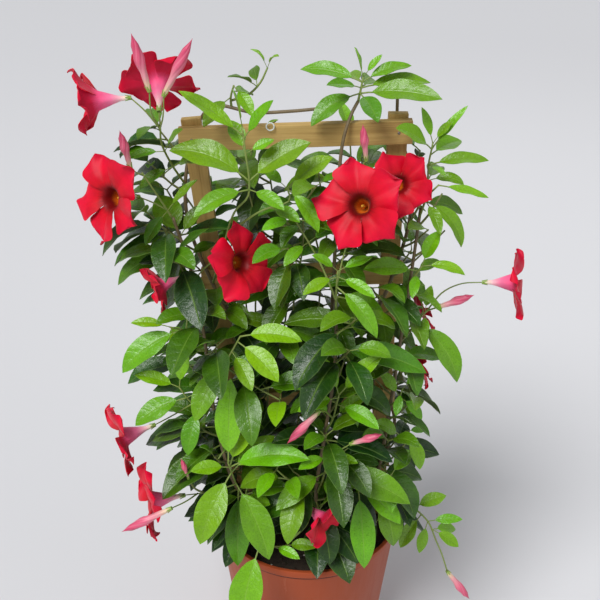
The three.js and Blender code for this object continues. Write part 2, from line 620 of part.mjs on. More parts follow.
// Green shoots. Each sprig has a route, and its opposite pairs of leaves with the length of the longest.
// A sprig without leaves is a bare stalk. A shoot starts inside its vine, or in the soil.
const shoots = {
  shoot_high_left: { on: 'vine_left', sprigs: [
    { route: [[-112, -21, 592], [-98, -46, 640], [-80, -60, 700], [-65, -66, 720], [-63, -68, 739],
              [-66, -70, 771], [-69, -62, 796]],
      pairs: 0, turn: 195,
      tips: [
        [0.735, -149, -46, 762, 50, -32, 0.42], [0.735, 2, -58, 776, 25, 35, 0.48],
        [0.69, -26, -99, 717, 30, 25, 0.4], [0.69, -120, -95, 707, 40, -30, 0.38],
        [0.873, -83, -36, 793, 12, -15, 0.5], [0.873, -36, -66, 782, 12, 35, 0.5],
        [0.996, -77, -72, 836, 15, -40, 0.36], [0.94, -36, -71, 825, 12, 40, 0.38],
        [0.955, -133, -53, 829, 14, -36, 0.26],
      ] },
    { route: [[-90, -52, 670], [-52, -58, 700], [-21, -52, 710], [-24, -54, 725]],
      pairs: 0, turn: 260,
      tips: [
        [0.992, 26, -36, 752, 25, 32, 0.45], [0.59, -10, -85, 697, 35, 26, 0.45],
        [0.992, 9, -79, 683, 40, 31, 0.36], [0.992, -51, -42, 743, 15, -31, 0.5],
      ] },
  ] },
  shoot_rail_left: { on: 'vine_left', sprigs: [
    { route: [[-84, 4, 794], [-84, -3, 808], [-80, -7, 822]],
      pairs: 0, turn: 140,
      tips: [
        [0.5, -111, -37, 785, 30, -20, 0.45],
        [0.75, -63, 35, 798, 20, 22, 0.45], [0.977, -60, -33, 795, 30, 20, 0.45],
      ] },
    { route: [[-85, 1, 803], [-66, -2, 810], [-52, -4, 824], [-44, -4, 840]],
      pairs: 2, length: 30, turn: 60, first: 0.6, low: 30, high: 70 },
  ] },
  shoot_top: { on: 'vine_centre', sprigs: [
    { route: [[52, -4, 803], [54, -5, 814], [57, -3, 830]],
      pairs: 0, turn: 175,
      tips: [
        [0.974, 46, -8, 862, 10, -30, 0.5], [0.974, 77, 5, 851, 14, 35, 0.36],
        [0.8, 109, 6, 838, 35, 33, 0.33], [0.8, -10, 22, 830, 30, -31, 0.36],
        [0.8, 40, 46, 817, 25, -13, 0.45], [0.58, 131, 13, 818, 25, 33, 0.3],
        [0.58, 17, -31, 828, 22, -31, 0.38], [0.58, 80, 57, 803, 35, 17, 0.45],
        [0.36, 2, -25, 781, 45, -32, 0.42], [0.36, 70, -53, 795, 30, 10, 0.5],
        [0.36, 137, -38, 815, 25, 36, 0.36],
      ] },
  ] },
  shoot_high_right: { on: 'vine_right', sprigs: [
    { route: [[115, 3, 655], [132, -2, 700], [132, -8, 736], [133, -12, 750], [134, -14, 761]],
      pairs: 0, turn: 20,
      tips: [
        [0.993, 154, -10, 784, 14, 40, 0.42], [0.993, 120, -6, 798, 10, -40, 0.33],
        [0.93, 172, 3, 797, 12, 35, 0.2], [0.93, 90, -36, 784, 25, -40, 0.5],
        [0.86, 173, 29, 747, 30, 25, 0.45], [0.74, 199, -5, 736, 30, 34, 0.3],
        [0.74, 146, -42, 732, 22, 0, 0.32], [0.56, 173, -12, 709, 60, 33, 0.42],
        [0.56, 154, 48, 709, 35, 15, 0.45], [0.3, 180, 20, 660, 40, 38, 0.4],
      ] },
    { route: [[130, -1, 692], [112, -12, 700], [94, -9, 706]],
      pairs: 0 },
  ] },
  shoot_right_upper: { on: 'vine_front_right', sprigs: [
    { route: [[123, -28, 680], [130, -32, 706], [140, -38, 722]],
      pairs: 0, turn: 345,
      tips: [
        [0.985, 195, -40, 707, 15, 34, 0.24], [0.45, 169, -41, 646, 60, 40, 0.3],
        [0.45, 141, -66, 674, 40, 1, 0.4],
      ] },
    { route: [[115, -36, 600], [120, -48, 618], [126, -54, 632]],
      pairs: 0, turn: 330,
      tips: [
        [0.981, 174, -60, 621, 50, 34, 0.32], [0.981, 145, -50, 673, 20, 40, 0.5],
        [0.75, 60, -59, 629, 25, -34, 0.45], [0.75, 113, -85, 606, 30, -8, 0.4],
        [0.5, 152, -17, 618, 35, 26, 0.4],
      ] },
  ] },
  shoot_right: { on: 'vine_front_right', sprigs: [
    { route: [[110, -42, 540], [126, -42, 552], [138, -34, 562], [150, -34, 567]],
      pairs: 0, turn: 80,
      tips: [
        [0.4, 174, -70, 484, 55, 34, 0.36], [0.7, 143, -27, 593, 15, 29, 0.5],
        [0.7, 133, -65, 542, 30, -3, 0.42],
      ] },
    { route: [[138, -34, 562], [158, -20, 580], [180, -14, 588], [204, -18, 592]],
      pairs: 0 },
  ] },
  shoot_right_low: { on: 'vine_front_right', sprigs: [
    { route: [[100, -52, 440], [108, -62, 456], [112, -66, 474]],
      pairs: 0, turn: 320,
      tips: [
        [0.982, 103, -88, 450, 30, -12, 0.45], [0.982, 133, -54, 490, 20, 30, 0.4],
        [0.65, 136, -71, 432, 30, 38, 0.45], [0.65, 82, -61, 495, 20, -40, 0.45],
      ] },
    { route: [[95, -55, 390], [110, -62, 398], [120, -64, 410]],
      pairs: 0, turn: 10,
      tips: [
        [0.979, 137, -78, 361, 40, 34, 0.42], [0.979, 144, -50, 398, 25, 36, 0.42],
        [0.7, 76, -83, 435, 25, -40, 0.45],
      ] },
  ] },
  shoot_centre: { on: 'vine_front', sprigs: [
    { route: [[20, -92, 430], [28, -108, 462], [34, -114, 500]],
      pairs: 0, turn: 190,
      tips: [
        [0.99, 82, -108, 549, 15, 40, 0.36], [0.99, 16, -104, 542, 15, -38, 0.36],
        [0.93, -13, -139, 493, 25, -30, 0.42], [0.8, 78, -144, 472, 35, 27, 0.42],
        [0.5, -10, -94, 484, 30, -32, 0.45], [0.5, 67, -88, 477, 30, 29, 0.45],
      ] },
    { route: [[28, -108, 462], [18, -122, 482], [12, -130, 489]],
      pairs: 0 },
  ] },
  shoot_centre_low: { on: 'vine_front', sprigs: [
    { route: [[12, -84, 330], [18, -106, 372], [25, -118, 422]],
      pairs: 0, turn: 250,
      tips: [
        [0.992, 28, -154, 407, 20, 2, 0.42], [0.9, 57, -136, 418, 20, 31, 0.42],
        [0.9, -12, -140, 412, 25, -29, 0.45], [0.6, 121, -134, 354, 38, 33, 0.38],
        [0.6, -38, -148, 357, 30, -27, 0.42],
      ] },
    { route: [[24, -115, 408], [36, -124, 428], [48, -127, 440]],
      pairs: 0 },
    { route: [[16, -98, 358], [-20, -116, 376], [-38, -124, 400]],
      pairs: 3, length: 76, turn: 250, low: -20, high: 20 },
  ] },
  shoot_centre_high: { on: 'vine_front', sprigs: [
    { route: [[30, -76, 588], [30, -82, 622], [31, -85, 642]],
      pairs: 0, turn: 0,
      tips: [
        [0.987, 68, -79, 654, 20, 34, 0.38], [0.987, 2, -91, 663, 20, -40, 0.42],
        [0.85, 70, -110, 621, 25, 28, 0.36], [0.85, -7, -106, 622, 28, -28, 0.4],
        [0.6, 73, -116, 574, 40, 27, 0.34], [0.35, 86, -59, 568, 30, 40, 0.42],
      ] },
    { route: [[30, -80, 602], [12, -62, 640], [-16, -56, 690]],
      pairs: 0, turn: 100,
      tips: [
        [0.993, 29, -71, 681, 25, 30, 0.32], [0.993, -51, -74, 683, 30, -30, 0.45],
        [0.7, -27, -84, 645, 30, -23, 0.45], [0.7, 34, -38, 673, 25, 29, 0.45],
      ] },
    { route: [[30, -82, 622], [40, -66, 660], [52, -54, 682], [64, -50, 699]],
      pairs: 0 },
  ] },
  shoot_left_high: { on: 'vine_front_left', sprigs: [
    { route: [[-150, -38, 682], [-164, -44, 712], [-178, -48, 740]],
      pairs: 0, turn: 90,
      tips: [
        [0.18, -120, -36, 727, 20, 40, 0.24], [0.18, -177, -68, 663, 30, -20, 0.42],
      ] },
    { route: [[-156, -40, 694], [-172, -38, 702], [-186, -38, 708]],
      pairs: 0 },
    { route: [[-176, -47, 736], [-184, -52, 742], [-188, -55, 748]],
      pairs: 0 },
  ] },
  shoot_left_top: { on: 'vine_left', sprigs: [
    { route: [[-140, 6, 705], [-150, -14, 735], [-156, -38, 768], [-152, -64, 796]],
      pairs: 0, turn: 150,
      tips: [
        [0.3, -103, -47, 754, 30, 33, 0.42], [0.3, -187, -19, 708, 30, -37, 0.4],
        [0.55, -131, -45, 786, 25, 40, 0.42], [0.55, -196, -25, 746, 25, -35, 0.36],
      ] },
    { route: [[-153, -60, 792], [-166, -64, 812], [-180, -62, 825]],
      pairs: 0 },
    { route: [[-152, -63, 795], [-152, -64, 812]],
      pairs: 0 },
    { route: [[-153, -62, 795], [-158, -76, 814], [-158, -76, 836]],
      pairs: 0 },
    { route: [[-152, -62, 795], [-146, -78, 812], [-144, -78, 832]],
      pairs: 0 },
  ] },
  shoot_left: { on: 'vine_front_left', sprigs: [
    { route: [[-123, -51, 540], [-140, -68, 556], [-156, -80, 568]],
      pairs: 0, turn: 195,
      tips: [
        [0.986, -200, -80, 572, 28, -34, 0.36], [0.986, -142, -114, 546, 30, 11, 0.45],
        [0.66, -212, -93, 513, 42, -34, 0.42],
      ] },
    { route: [[-140, -68, 556], [-136, -60, 588], [-132, -54, 614], [-140, -58, 622]],
      pairs: 0 },
    { route: [[-136, -60, 590], [-128, -48, 612], [-112, -42, 628], [-98, -58, 638]],
      pairs: 0 },
  ] },
  shoot_left_low: { on: 'vine_front_left', sprigs: [
    { route: [[-114, -70, 450], [-136, -84, 466], [-150, -88, 492]],
      pairs: 0, turn: 170,
      tips: [
        [0.7, -202, -102, 445, 40, -34, 0.45], [0.988, -201, -86, 506, 25, -34, 0.4],
        [0.7, -100, -90, 492, 25, 36, 0.45], [0.35, -142, -110, 409, 35, -14, 0.45],
        [0.988, -135, -82, 544, 20, 40, 0.42],
      ] },
    { route: [[-136, -84, 466], [-162, -78, 444], [-186, -70, 424]],
      pairs: 0 },
  ] },
  shoot_mid_left: { on: 'vine_front_left', sprigs: [
    { route: [[-117, -62, 490], [-94, -86, 528], [-76, -96, 566]],
      pairs: 0, turn: 340,
      tips: [
        [0.992, -7, -110, 566, 38, 33, 0.4], [0.9, -34, -128, 525, 30, 27, 0.48],
        [0.72, -63, -131, 515, 30, 16, 0.45], [0.45, -129, -119, 465, 30, -23, 0.45],
        [0.45, -51, -87, 520, 30, 33, 0.42],
      ] },
    { route: [[-100, -80, 518], [-58, -96, 496], [-32, -106, 486]],
      pairs: 3, length: 76, turn: 280, low: -20, high: 20 },
  ] },
  shoot_bright: { on: 'vine_front_left', sprigs: [
    { route: [[-83, -70, 316], [-88, -100, 358], [-94, -122, 408]],
      pairs: 0, turn: 180,
      tips: [
        [0.993, -89, -96, 510, 10, 8, 0.36], [0.9, -64, -84, 468, 15, 24, 0.45],
        [0.9, 3, -136, 422, 50, 34, 0.34], [0.9, -138, -130, 401, 25, -33, 0.48],
        [0.78, -128, -157, 313, 32, -23, 0.46], [0.78, -39, -87, 420, 25, 30, 0.42],
        [0.5, -48, -147, 278, 35, 24, 0.42], [0.3, -87, -135, 256, 30, -1, 0.38],
      ] },
    { route: [[-88, -100, 357], [-118, -108, 352], [-150, -112, 350]],
      pairs: 0 },
    { route: [[-134, -110, 351], [-144, -146, 370], [-155, -178, 389]],
      pairs: 0 },
  ] },
  shoot_front_right: { on: 'vine_front_right', sprigs: [
    { route: [[80, -55, 315], [66, -86, 336], [56, -104, 362]],
      pairs: 0, turn: 300,
      tips: [
        [0.75, 112, -125, 314, 35, 29, 0.42], [0.75, 69, -139, 256, 32, 6, 0.36],
        [0.4, 133, -86, 319, 30, 33, 0.4],
      ] },
    { route: [[71, -77, 328], [92, -92, 344], [100, -98, 368]],
      pairs: 2, length: 66, turn: 320, low: -25, high: 20 },
  ] },
  shoot_front: { on: 'soil', sprigs: [
    { route: [[-20, -74, 185], [-20, -74, 240], [-30, -112, 267], [-60, -134, 288]],
      pairs: 0, turn: 250,
      tips: [
        [0.995, -81, -176, 196, 40, -16, 0.46], [0.86, -10, -145, 276, 30, 29, 0.42],
        [0.7, 12, -123, 274, 30, 34, 0.45],
      ] },
    { route: [[-24, -96, 258], [0, -104, 300], [-6, -112, 338]],
      pairs: 1, length: 70, turn: 20, low: -20 },
  ] },
  shoot_trailing: { on: 'soil', sprigs: [
    { route: [[86, -50, 185], [87, -50, 240], [115, -68, 295], [134, -70, 292], [155, -72, 271],
              [168, -72, 238], [177, -74, 216], [186, -78, 188]],
      pairs: 0, turn: 0,
      tips: [
        [0.545, 179, -57, 300, 18, 31, 0.5], [0.603, 122, -78, 230, 18, -40, 0.42],
        [0.658, 200, -72, 273, 20, 35, 0.38], [0.658, 145, -88, 231, 15, -26, 0.42],
        [0.718, 196, -82, 235, 20, 32, 0.5], [0.718, 197, -50, 235, 20, 31, 0.42],
      ] },
  ] },
  shoot_back_left: { on: 'soil', sprigs: [
    { route: [[-42, 42, 185], [-42, 42, 240], [-62, 60, 360], [-76, 60, 480], [-84, 56, 590]],
      pairs: 6, length: 80, turn: 100, first: 0.2, low: -20 },
    { route: [[-84, 56, 590], [-78, 44, 660], [-66, 46, 730]],
      pairs: 4, length: 76, turn: 60, first: 0.3, low: -10 },
  ] },
  shoot_back_right: { on: 'soil', sprigs: [
    { route: [[45, 48, 185], [45, 48, 240], [60, 66, 360], [62, 66, 480], [60, 60, 590]],
      pairs: 6, length: 80, turn: 80, first: 0.2, low: -20 },
    { route: [[60, 60, 590], [54, 50, 660], [48, 52, 740]],
      pairs: 4, length: 76, turn: 30, first: 0.3, low: -10 },
    { route: [[60, 66, 440], [92, 50, 446], [120, 22, 440]],
      pairs: 0 },
    { route: [[62, 65, 500], [90, 48, 516], [118, 20, 520]],
      pairs: 0 },
  ] },
  shoot_bud_high: { on: 'vine_centre', sprigs: [
    { route: [[34, -25, 724], [50, -27, 730], [61, -32, 748]],
      pairs: 0 },
  ] },
}

// Blooms and buds stand on the ends of the bare stalks above
const blooms = {
  bloom_left_top: { at: [-180, -62, 825], face: [-0.98, -0.12, -0.05], spin: 10, grow: 0.76, forward: 40 },
  bloom_top_back: { at: [-152, -64, 812], face: [-0.06, 0.82, 0.55], spin: 54, grow: 0.82, forward: 8 },
  bloom_left_high: { at: [-186, -38, 708], face: [-0.58, -0.72, 0.26], spin: 50, grow: 0.94, forward: 6 },
  bloom_left: { at: [-140, -58, 622], face: [-0.86, -0.4, -0.25], spin: 0, grow: 0.6, forward: 28 },
  bloom_face: { at: [-98, -58, 638], face: [0.68, -0.65, 0.33], spin: 6, grow: 0.86, forward: 6 },
  bloom_centre: { at: [64, -50, 699], face: [-0.3, -0.83, 0.47], spin: 34, grow: 0.94, forward: 4 },
  bloom_behind: { at: [94, -9, 706], face: [0.12, -0.85, 0.5], spin: 40, grow: 0.74, forward: 12 },
  bloom_right: { at: [204, -18, 592], face: [0.97, -0.2, 0.1], spin: 15, grow: 0.82, forward: 12 },
  bloom_right_hidden: { at: [118, 20, 520], face: [0.75, 0.2, 0.3], spin: 0, grow: 0.55, forward: 12 },
  bloom_right_low: { at: [120, 22, 440], face: [0.78, 0.1, 0.2], spin: 30, grow: 0.6, forward: 10 },
  bloom_left_low: { at: [-186, -70, 424], face: [-0.9, -0.38, -0.16], spin: 5, grow: 0.9, forward: 14 },
  bloom_left_rim: { at: [-150, -112, 350], face: [-0.93, -0.3, 0.04], spin: 36, grow: 0.92, forward: 14 },
  bloom_front: { at: [-6, -112, 338], face: [0.68, -0.58, -0.25], spin: 25, grow: 0.7, forward: 24 },
}
const buds = {
  bud_top_left: { at: [-158, -76, 836], tip: [-171, -76, 892] },
  bud_top: { at: [-144, -78, 832], tip: [-112, -80, 888] },
  bud_left: { at: [-188, -55, 748], tip: [-195, -58, 790] },
  bud_high: { at: [61, -32, 748], tip: [56, -32, 788] },
  bud_right: { at: [150, -34, 567], tip: [192, -36, 585] },
  bud_centre: { at: [12, -130, 489], tip: [-25, -140, 450] },
  bud_centre_right: { at: [48, -127, 440], tip: [84, -132, 458] },
  bud_left_rim: { at: [-155, -178, 389], tip: [-213, -184, 359] },
  bud_trailing: { at: [186, -78, 188], tip: [220, -80, 138] },
}

// Stems come first, so that every leaf can be kept clear of all of them
function placeStems() {
  for (const [name, { route }] of Object.entries(vines)) {
    keep(pointsAlong(route, 5).map((at) => ({ at, r: vineRadius + 1.5, inner: true })), name)
  }
  for (const [name, shoot] of Object.entries(shoots)) {
    for (const sprig of shoot.sprigs) {
      keep(pointsAlong(sprig.route, 5).map((at) => ({ at, r: twigRadius + 2, inner: true })), name)
    }
  }
  for (const [name, bloom] of Object.entries(blooms)) keep(bloomSamples(bloom), name)
  for (const [name, bud] of Object.entries(buds)) keep(budSamples(bud), name)
}

function placeSlats() {
  const slat = (from, to, width, depth, y) => {
    const steps = Math.ceil(size(minus(to, from)) / 8)
    const lie = unit(minus(to, from))
    const samples = []
    for (let i = 0; i <= steps; i++) {
      for (const s of [-0.4, 0, 0.4]) {
        const at = along(mix(from, to, i / steps), [lie[2], 0, -lie[0]], s * width)
        samples.push({ at: [at[0], y, at[2]], r: depth / 2 + 1.5 })
      }
    }
    keep(samples, 'trellis')
  }
  for (const { foot, top } of Object.values(posts)) {
    slat([foot[0], 0, foot[1]], [top[0], 0, top[1]], postWidth, postDepth, postDepth / 2)
  }
  for (const [from, to] of Object.values(rails)) {
    slat([from[0], 0, from[1]], [to[0], 0, to[1]], railWidth, railDepth, -railDepth / 2)
  }
}

// A slat between two points of its middle line, its faces square to Y
function slatSolid(from, to, width, back, depth) {
  const lie = unit([to[0] - from[0], 0, to[1] - from[1]])
  const across = [lie[2] * width / 2, -lie[0] * width / 2]
  const outline = new THREE.Shape([
    new THREE.Vector2(from[0] + across[0], from[1] + across[1]),
    new THREE.Vector2(to[0] + across[0], to[1] + across[1]),
    new THREE.Vector2(to[0] - across[0], to[1] - across[1]),
    new THREE.Vector2(from[0] - across[0], from[1] - across[1]),
  ])
  const geometry = new THREE.ExtrudeGeometry(outline, { depth, bevelEnabled: false })
  geometry.rotateX(Math.PI / 2)
  geometry.translate(0, back, 0)
  return solidOf(geometry)
}

// Assembly
const group = new THREE.Group()
group.name = 'potted_mandevilla'

function part(name, solid, colour, roughness = 0.6) {
  const material = new THREE.MeshStandardMaterial({ color: colour, roughness })
  material.name = `${name}_material`
  const mesh = new THREE.Mesh(geometryOf(solid), material)
  mesh.name = name
  group.add(mesh)
}

// Pot: one thin wall and floor turned as a closed profile, with a deeper lip and drain holes
const wallRadius = (z) => baseRadius + (rimRadius - baseRadius) * z / potHeight
const lipFoot = potHeight - lipHeight
const pot = turned([
  [0, 0],
  [baseRadius, 0],
  [wallRadius(lipFoot), lipFoot],
  [wallRadius(lipFoot) + lipDepth, lipFoot],
  [rimRadius + lipDepth, potHeight],
  [rimRadius - potWall, potHeight],
  [baseRadius - potWall, potWall + 0.8],
  [0, potWall + 0.8],
], potSides)
const drains = []
for (let i = 0; i < drainHoles; i++) {
  const turn = radians(360 * i / drainHoles)
  const at = [baseRadius * 0.62 * Math.cos(turn), baseRadius * 0.62 * Math.sin(turn), -1]
  drains.push(turnedAlong([[0, 0], [drainRadius, 0], [drainRadius, 6], [0, 6]], 8, at, [0, 0, 1]))
}
part('pot', pot.subtract(joined(drains)), clay, 0.55)

// Trellis: two posts in the soil with four rails across their front faces
for (const [name, { foot, top }] of Object.entries(posts)) {
  part(`trellis_post_${name}`, slatSolid(foot, top, postWidth, postDepth, postDepth), wood, 0.75)
}
for (const [name, [from, to]] of Object.entries(rails)) {
  part(`trellis_rail_${name}`, slatSolid(from, to, railWidth, -seat, railDepth), wood, 0.75)
}

placeSlats()
placeStems()
const singles = new Map()
for (const [name, shoot] of Object.entries(shoots)) {
  for (const sprig of shoot.sprigs) singles.set(sprig, leavesAtTips(sprig, name))
}
for (const [name, vine] of Object.entries(vines)) singles.set(vine, leavesAtTips(vine, name))

// Vines
const vineCuts = {}
for (const [name, vine] of Object.entries(vines)) {
  vineCuts[name] = leafyStem(vine.route, vineRadius + 2 * seat, 12, vine.turn)
}

// Shoots: each is one piece of stems and leaves, cut back to the side of its vine and to the foot of
// the bloom or bud that it carries
let seed = 1 // numbers the leaves for their chances
for (const [name, shoot] of Object.entries(shoots)) {
  const pieces = []
  for (const sprig of shoot.sprigs) {
    const radius = sprig.pairs || sprig.tips ? twigRadius : stalkRadius
    const leaves = leavesOf(sprig, name, seed, singles.get(sprig))
    pieces.push(leafyStem(sprig.route, radius, 24, sprig.turn ?? 0, leaves))
    seed += 2 * sprig.pairs + 1
  }
  let whole = joined(pieces)
  if (vineCuts[shoot.on]) whole = whole.subtract(vineCuts[shoot.on])
  for (const held of [...Object.values(blooms), ...Object.values(buds)]) {
    const near = shoot.sprigs.some((sprig) => size(minus(sprig.route.at(-1), held.at)) < 1)
    if (near) whole = whole.subtract(footCut(held))
  }
  part(name, mainPiece(whole), green, 0.45)
}
seed = vineSeed
for (const [name, vine] of Object.entries(vines)) {
  const leaves = leavesOf({ low: -12, high: 12, ...vine }, name, seed, singles.get(vine))
  seed += 2 * vine.pairs + 1
  part(name, leafyStem(vine.route, vineRadius, 24, vine.turn, leaves), brown, 0.7)
}

for (const [name, bloom] of Object.entries(blooms)) part(name, bloomSolid(bloom), red, 0.5)
for (const [name, bud] of Object.entries(buds)) part(name, budSolid(bud), pink, 0.5)

// Soil: fills the pot to a little below its rim, with plain holes for the posts and stems
const soilRadius = (z) => wallRadius(z) - potWall - 1
const soilFoot = potWall + 0.8 + seat
let soil = turned([
  [0, soilFoot],
  [soilRadius(soilFoot) - 1, soilFoot],
  [soilRadius(soilTop) - 1, soilTop],
  [60, soilTop + 2],
  [0, soilTop + 2],
], potSides)
const stemHole = ([x, y], r) => {
  const profile = [[0, 0], [r, 0], [r, 60], [0, 60]]
  return turnedAlong(profile, 6, [x, y, soilTop - rootDepth - seat], [0, 0, 1])
}
const sockets = []
for (const { foot, top } of Object.values(posts)) {
  const lean = (top[0] - foot[0]) / (top[1] - foot[1])
  const from = [foot[0] - lean * seat, foot[1] - seat]
  const to = [foot[0] + lean * 140, foot[1] + 140]
  sockets.push(slatSolid(from, to, postWidth + 2 * seat, postDepth + seat, postDepth + 2 * seat))
}
for (const { route } of Object.values(vines)) {
  sockets.push(stemHole(route[0], vineRadius + 3))
}
for (const shoot of Object.values(shoots)) {
  if (shoot.on !== 'soil') continue
  sockets.push(stemHole(shoot.sprigs[0].route[0], twigRadius + 3))
}
soil = soil.subtract(joined(sockets))
part('soil', mainPiece(soil), earth, 0.95)

export default group
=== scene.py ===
import bisect
import itertools
import math
import random

import bmesh
import bpy
from mathutils import Matrix, Vector, noise


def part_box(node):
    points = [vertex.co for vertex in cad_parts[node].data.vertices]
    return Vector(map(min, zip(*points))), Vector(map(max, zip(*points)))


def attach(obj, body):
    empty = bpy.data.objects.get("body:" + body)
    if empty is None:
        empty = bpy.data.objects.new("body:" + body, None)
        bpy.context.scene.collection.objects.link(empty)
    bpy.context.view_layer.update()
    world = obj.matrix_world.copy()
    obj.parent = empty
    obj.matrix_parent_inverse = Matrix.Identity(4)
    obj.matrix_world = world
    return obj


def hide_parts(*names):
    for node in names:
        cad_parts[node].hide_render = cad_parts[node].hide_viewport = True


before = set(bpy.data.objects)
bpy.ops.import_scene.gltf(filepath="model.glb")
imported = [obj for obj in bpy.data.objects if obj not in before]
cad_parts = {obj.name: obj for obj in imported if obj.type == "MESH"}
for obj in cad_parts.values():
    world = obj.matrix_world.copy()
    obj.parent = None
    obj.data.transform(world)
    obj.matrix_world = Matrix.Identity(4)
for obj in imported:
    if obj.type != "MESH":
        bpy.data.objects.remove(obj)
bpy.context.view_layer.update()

# Pot
# A round nursery pot in terracotta-coloured plastic, moulded as one thin wall and floor with a
# deeper lip round the rim and five drain holes in the floor.
mm = 0.001
_, pot_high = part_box("pot")
pot_height = pot_high.z
lip_depth = 3 * mm
lip_height = 11 * mm
lip_foot = pot_height - lip_height
rim_radius = pot_high.x - lip_depth
base_radius = 98 * mm
pot_wall = 2.2 * mm
pot_floor = 3 * mm
pot_steps = 128
pot_edge = 0.9 * mm
lip_shadow = 2.5 * mm
drain_radius = 7 * mm
drain_reach = 0.62 * base_radius
drain_count = 5
seam_gap = 0.01 * mm
hair = 1e-6


def wall_radius(z):
    return base_radius + (rim_radius - base_radius) * z / pot_height


def place_object(name, data):
    made = bpy.data.objects.new(name, data)
    bpy.context.scene.collection.objects.link(made)
    return made


def mesh_object(name, bm):
    """The mesh as an object of the scene."""
    mesh = bpy.data.meshes.new(name)
    bm.to_mesh(mesh)
    bm.free()
    return place_object(name, mesh)


def piece_of(name, bm, finishes, smooth=True):
    """The mesh as a finished piece of the plant, riding on its one body."""
    piece = mesh_object(name, bm)
    for finish in finishes:
        piece.data.materials.append(finish)
    piece.data.polygons.foreach_set("use_smooth", [smooth] * len(piece.data.polygons))
    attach(piece, "root")
    return piece


def close_seams(bm):
    """Merges the points that meet, and turns every face outwards."""
    bmesh.ops.remove_doubles(bm, verts=bm.verts, dist=seam_gap)
    bmesh.ops.recalc_face_normals(bm, faces=bm.faces)


def turned(profile, steps):
    """A closed shell: the profile, (radius, height) pairs, turned once round the Z axis."""
    bm = bmesh.new()
    verts = [bm.verts.new((r, 0, z)) for r, z in profile]
    edges = [bm.edges.new(pair) for pair in zip(verts, verts[1:])]
    bmesh.ops.spin(
        bm, geom=verts + edges, cent=(0, 0, 0), axis=(0, 0, 1), angle=math.tau, steps=steps, use_merge=True
    )
    close_seams(bm)
    return bm


def new_finish(name):
    """A material, its node tree and its surface shader."""
    finish = bpy.data.materials.new(name)
    finish.use_nodes = True
    return finish, finish.node_tree, finish.node_tree.nodes["Principled BSDF"]


def add_node(tree, kind, inputs, **settings):
    """A node with its settings, and its inputs given as values or as other nodes' outputs."""
    made = tree.nodes.new(kind)
    for setting, choice in settings.items():
        setattr(made, setting, choice)
    for socket, source in inputs.items():
        if isinstance(source, bpy.types.NodeSocket):
            tree.links.new(source, made.inputs[socket])
        else:
            made.inputs[socket].default_value = source
    return made


def reckon(tree, operation, *terms):
    """The result of one Math node."""
    return add_node(tree, "ShaderNodeMath", dict(enumerate(terms)), operation=operation).outputs[0]


def blended(tree, share, low, high):
    """A colour between two, each a plain colour or another node's output."""
    mix = add_node(tree, "ShaderNodeMix", {0: share, 6: low, 7: high}, data_type="RGBA")
    return mix.outputs[2]


def colour(red, green, blue):
    return (red, green, blue, 1)


def noise_of(tree, place, scale, detail=3, roughness=0.5):
    inputs = {"Vector": place, "Scale": scale, "Detail": detail, "Roughness": roughness}
    return add_node(tree, "ShaderNodeTexNoise", inputs).outputs["Fac"]


def own_place(tree):
    return add_node(tree, "ShaderNodeTexCoord", {}).outputs["Object"]


def stretched(tree, place, *scale):
    """The place scaled along each axis, which draws a pattern out along the smallest scale."""
    return add_node(tree, "ShaderNodeMapping", {"Vector": place, "Scale": scale}).outputs[0]


def paint(tree, shader, shade, roughness):
    """The surface's colour, and its roughness as a number or another node's output."""
    tree.links.new(shade, shader.inputs["Base Color"])
    if isinstance(roughness, bpy.types.NodeSocket):
        tree.links.new(roughness, shader.inputs["Roughness"])
    else:
        shader.inputs["Roughness"].default_value = roughness


def roughen(tree, shader, height, strength, distance):
    """Relief that is too fine for the mesh, from a height pattern."""
    bump = add_node(
        tree, "ShaderNodeBump", {"Height": height, "Strength": strength, "Distance": distance}
    )
    tree.links.new(bump.outputs["Normal"], shader.inputs["Normal"])


def pot_finish():
    finish, tree, shader = new_finish("terracotta plastic")
    place = own_place(tree)
    cloud = noise_of(tree, place, 9, 4, 0.6)
    scuffs = noise_of(tree, stretched(tree, place, 60, 60, 4), 1.5, 5, 0.7)
    shade = blended(tree, cloud, colour(0.33, 0.06, 0.018), colour(0.42, 0.082, 0.027))
    marks = reckon(tree, "MULTIPLY", reckon(tree, "GREATER_THAN", scuffs, 0.66), 0.25)
    worn = blended(tree, marks, shade, colour(0.5, 0.16, 0.09))
    height = add_node(tree, "ShaderNodeSeparateXYZ", {0: place}).outputs[2]
    off_shadow = reckon(tree, "ABSOLUTE", reckon(tree, "SUBTRACT", height, lip_foot - lip_shadow))
    shadow = reckon(tree, "MULTIPLY", reckon(tree, "LESS_THAN", off_shadow, lip_shadow), 0.75)
    shade = blended(tree, shadow, worn, colour(0.05, 0.012, 0.008))
    paint(tree, shader, shade, reckon(tree, "MULTIPLY_ADD", scuffs, 0.3, 0.3))
    shader.inputs["Specular IOR Level"].default_value = 0.15
    roughen(tree, shader, noise_of(tree, place, 700, 2), 0.12, 0.3 * mm)
    return finish


pot_profile = [
    (0, 0),
    (base_radius, 0),
    (wall_radius(lip_foot), lip_foot),
    (wall_radius(lip_foot) + lip_depth, lip_foot),
    (rim_radius + lip_depth, pot_height),
    (rim_radius - pot_wall, pot_height),
    (base_radius - pot_wall, pot_floor),
    (0, pot_floor),
]
bm = turned(pot_profile, pot_steps)
rings = [
    e for e in bm.edges
    if abs(e.verts[0].co.z - e.verts[1].co.z) < hair and e.verts[0].co.xy.length > base_radius / 2
    and abs(e.verts[0].co.xy.length - e.verts[1].co.xy.length) < hair
]
bmesh.ops.bevel(
    bm, geom=rings, offset=pot_edge, segments=3, profile=0.5, affect="EDGES", material=-1, clamp_overlap=True
)
pot_shell = piece_of("pot_shell", bm, [pot_finish()])

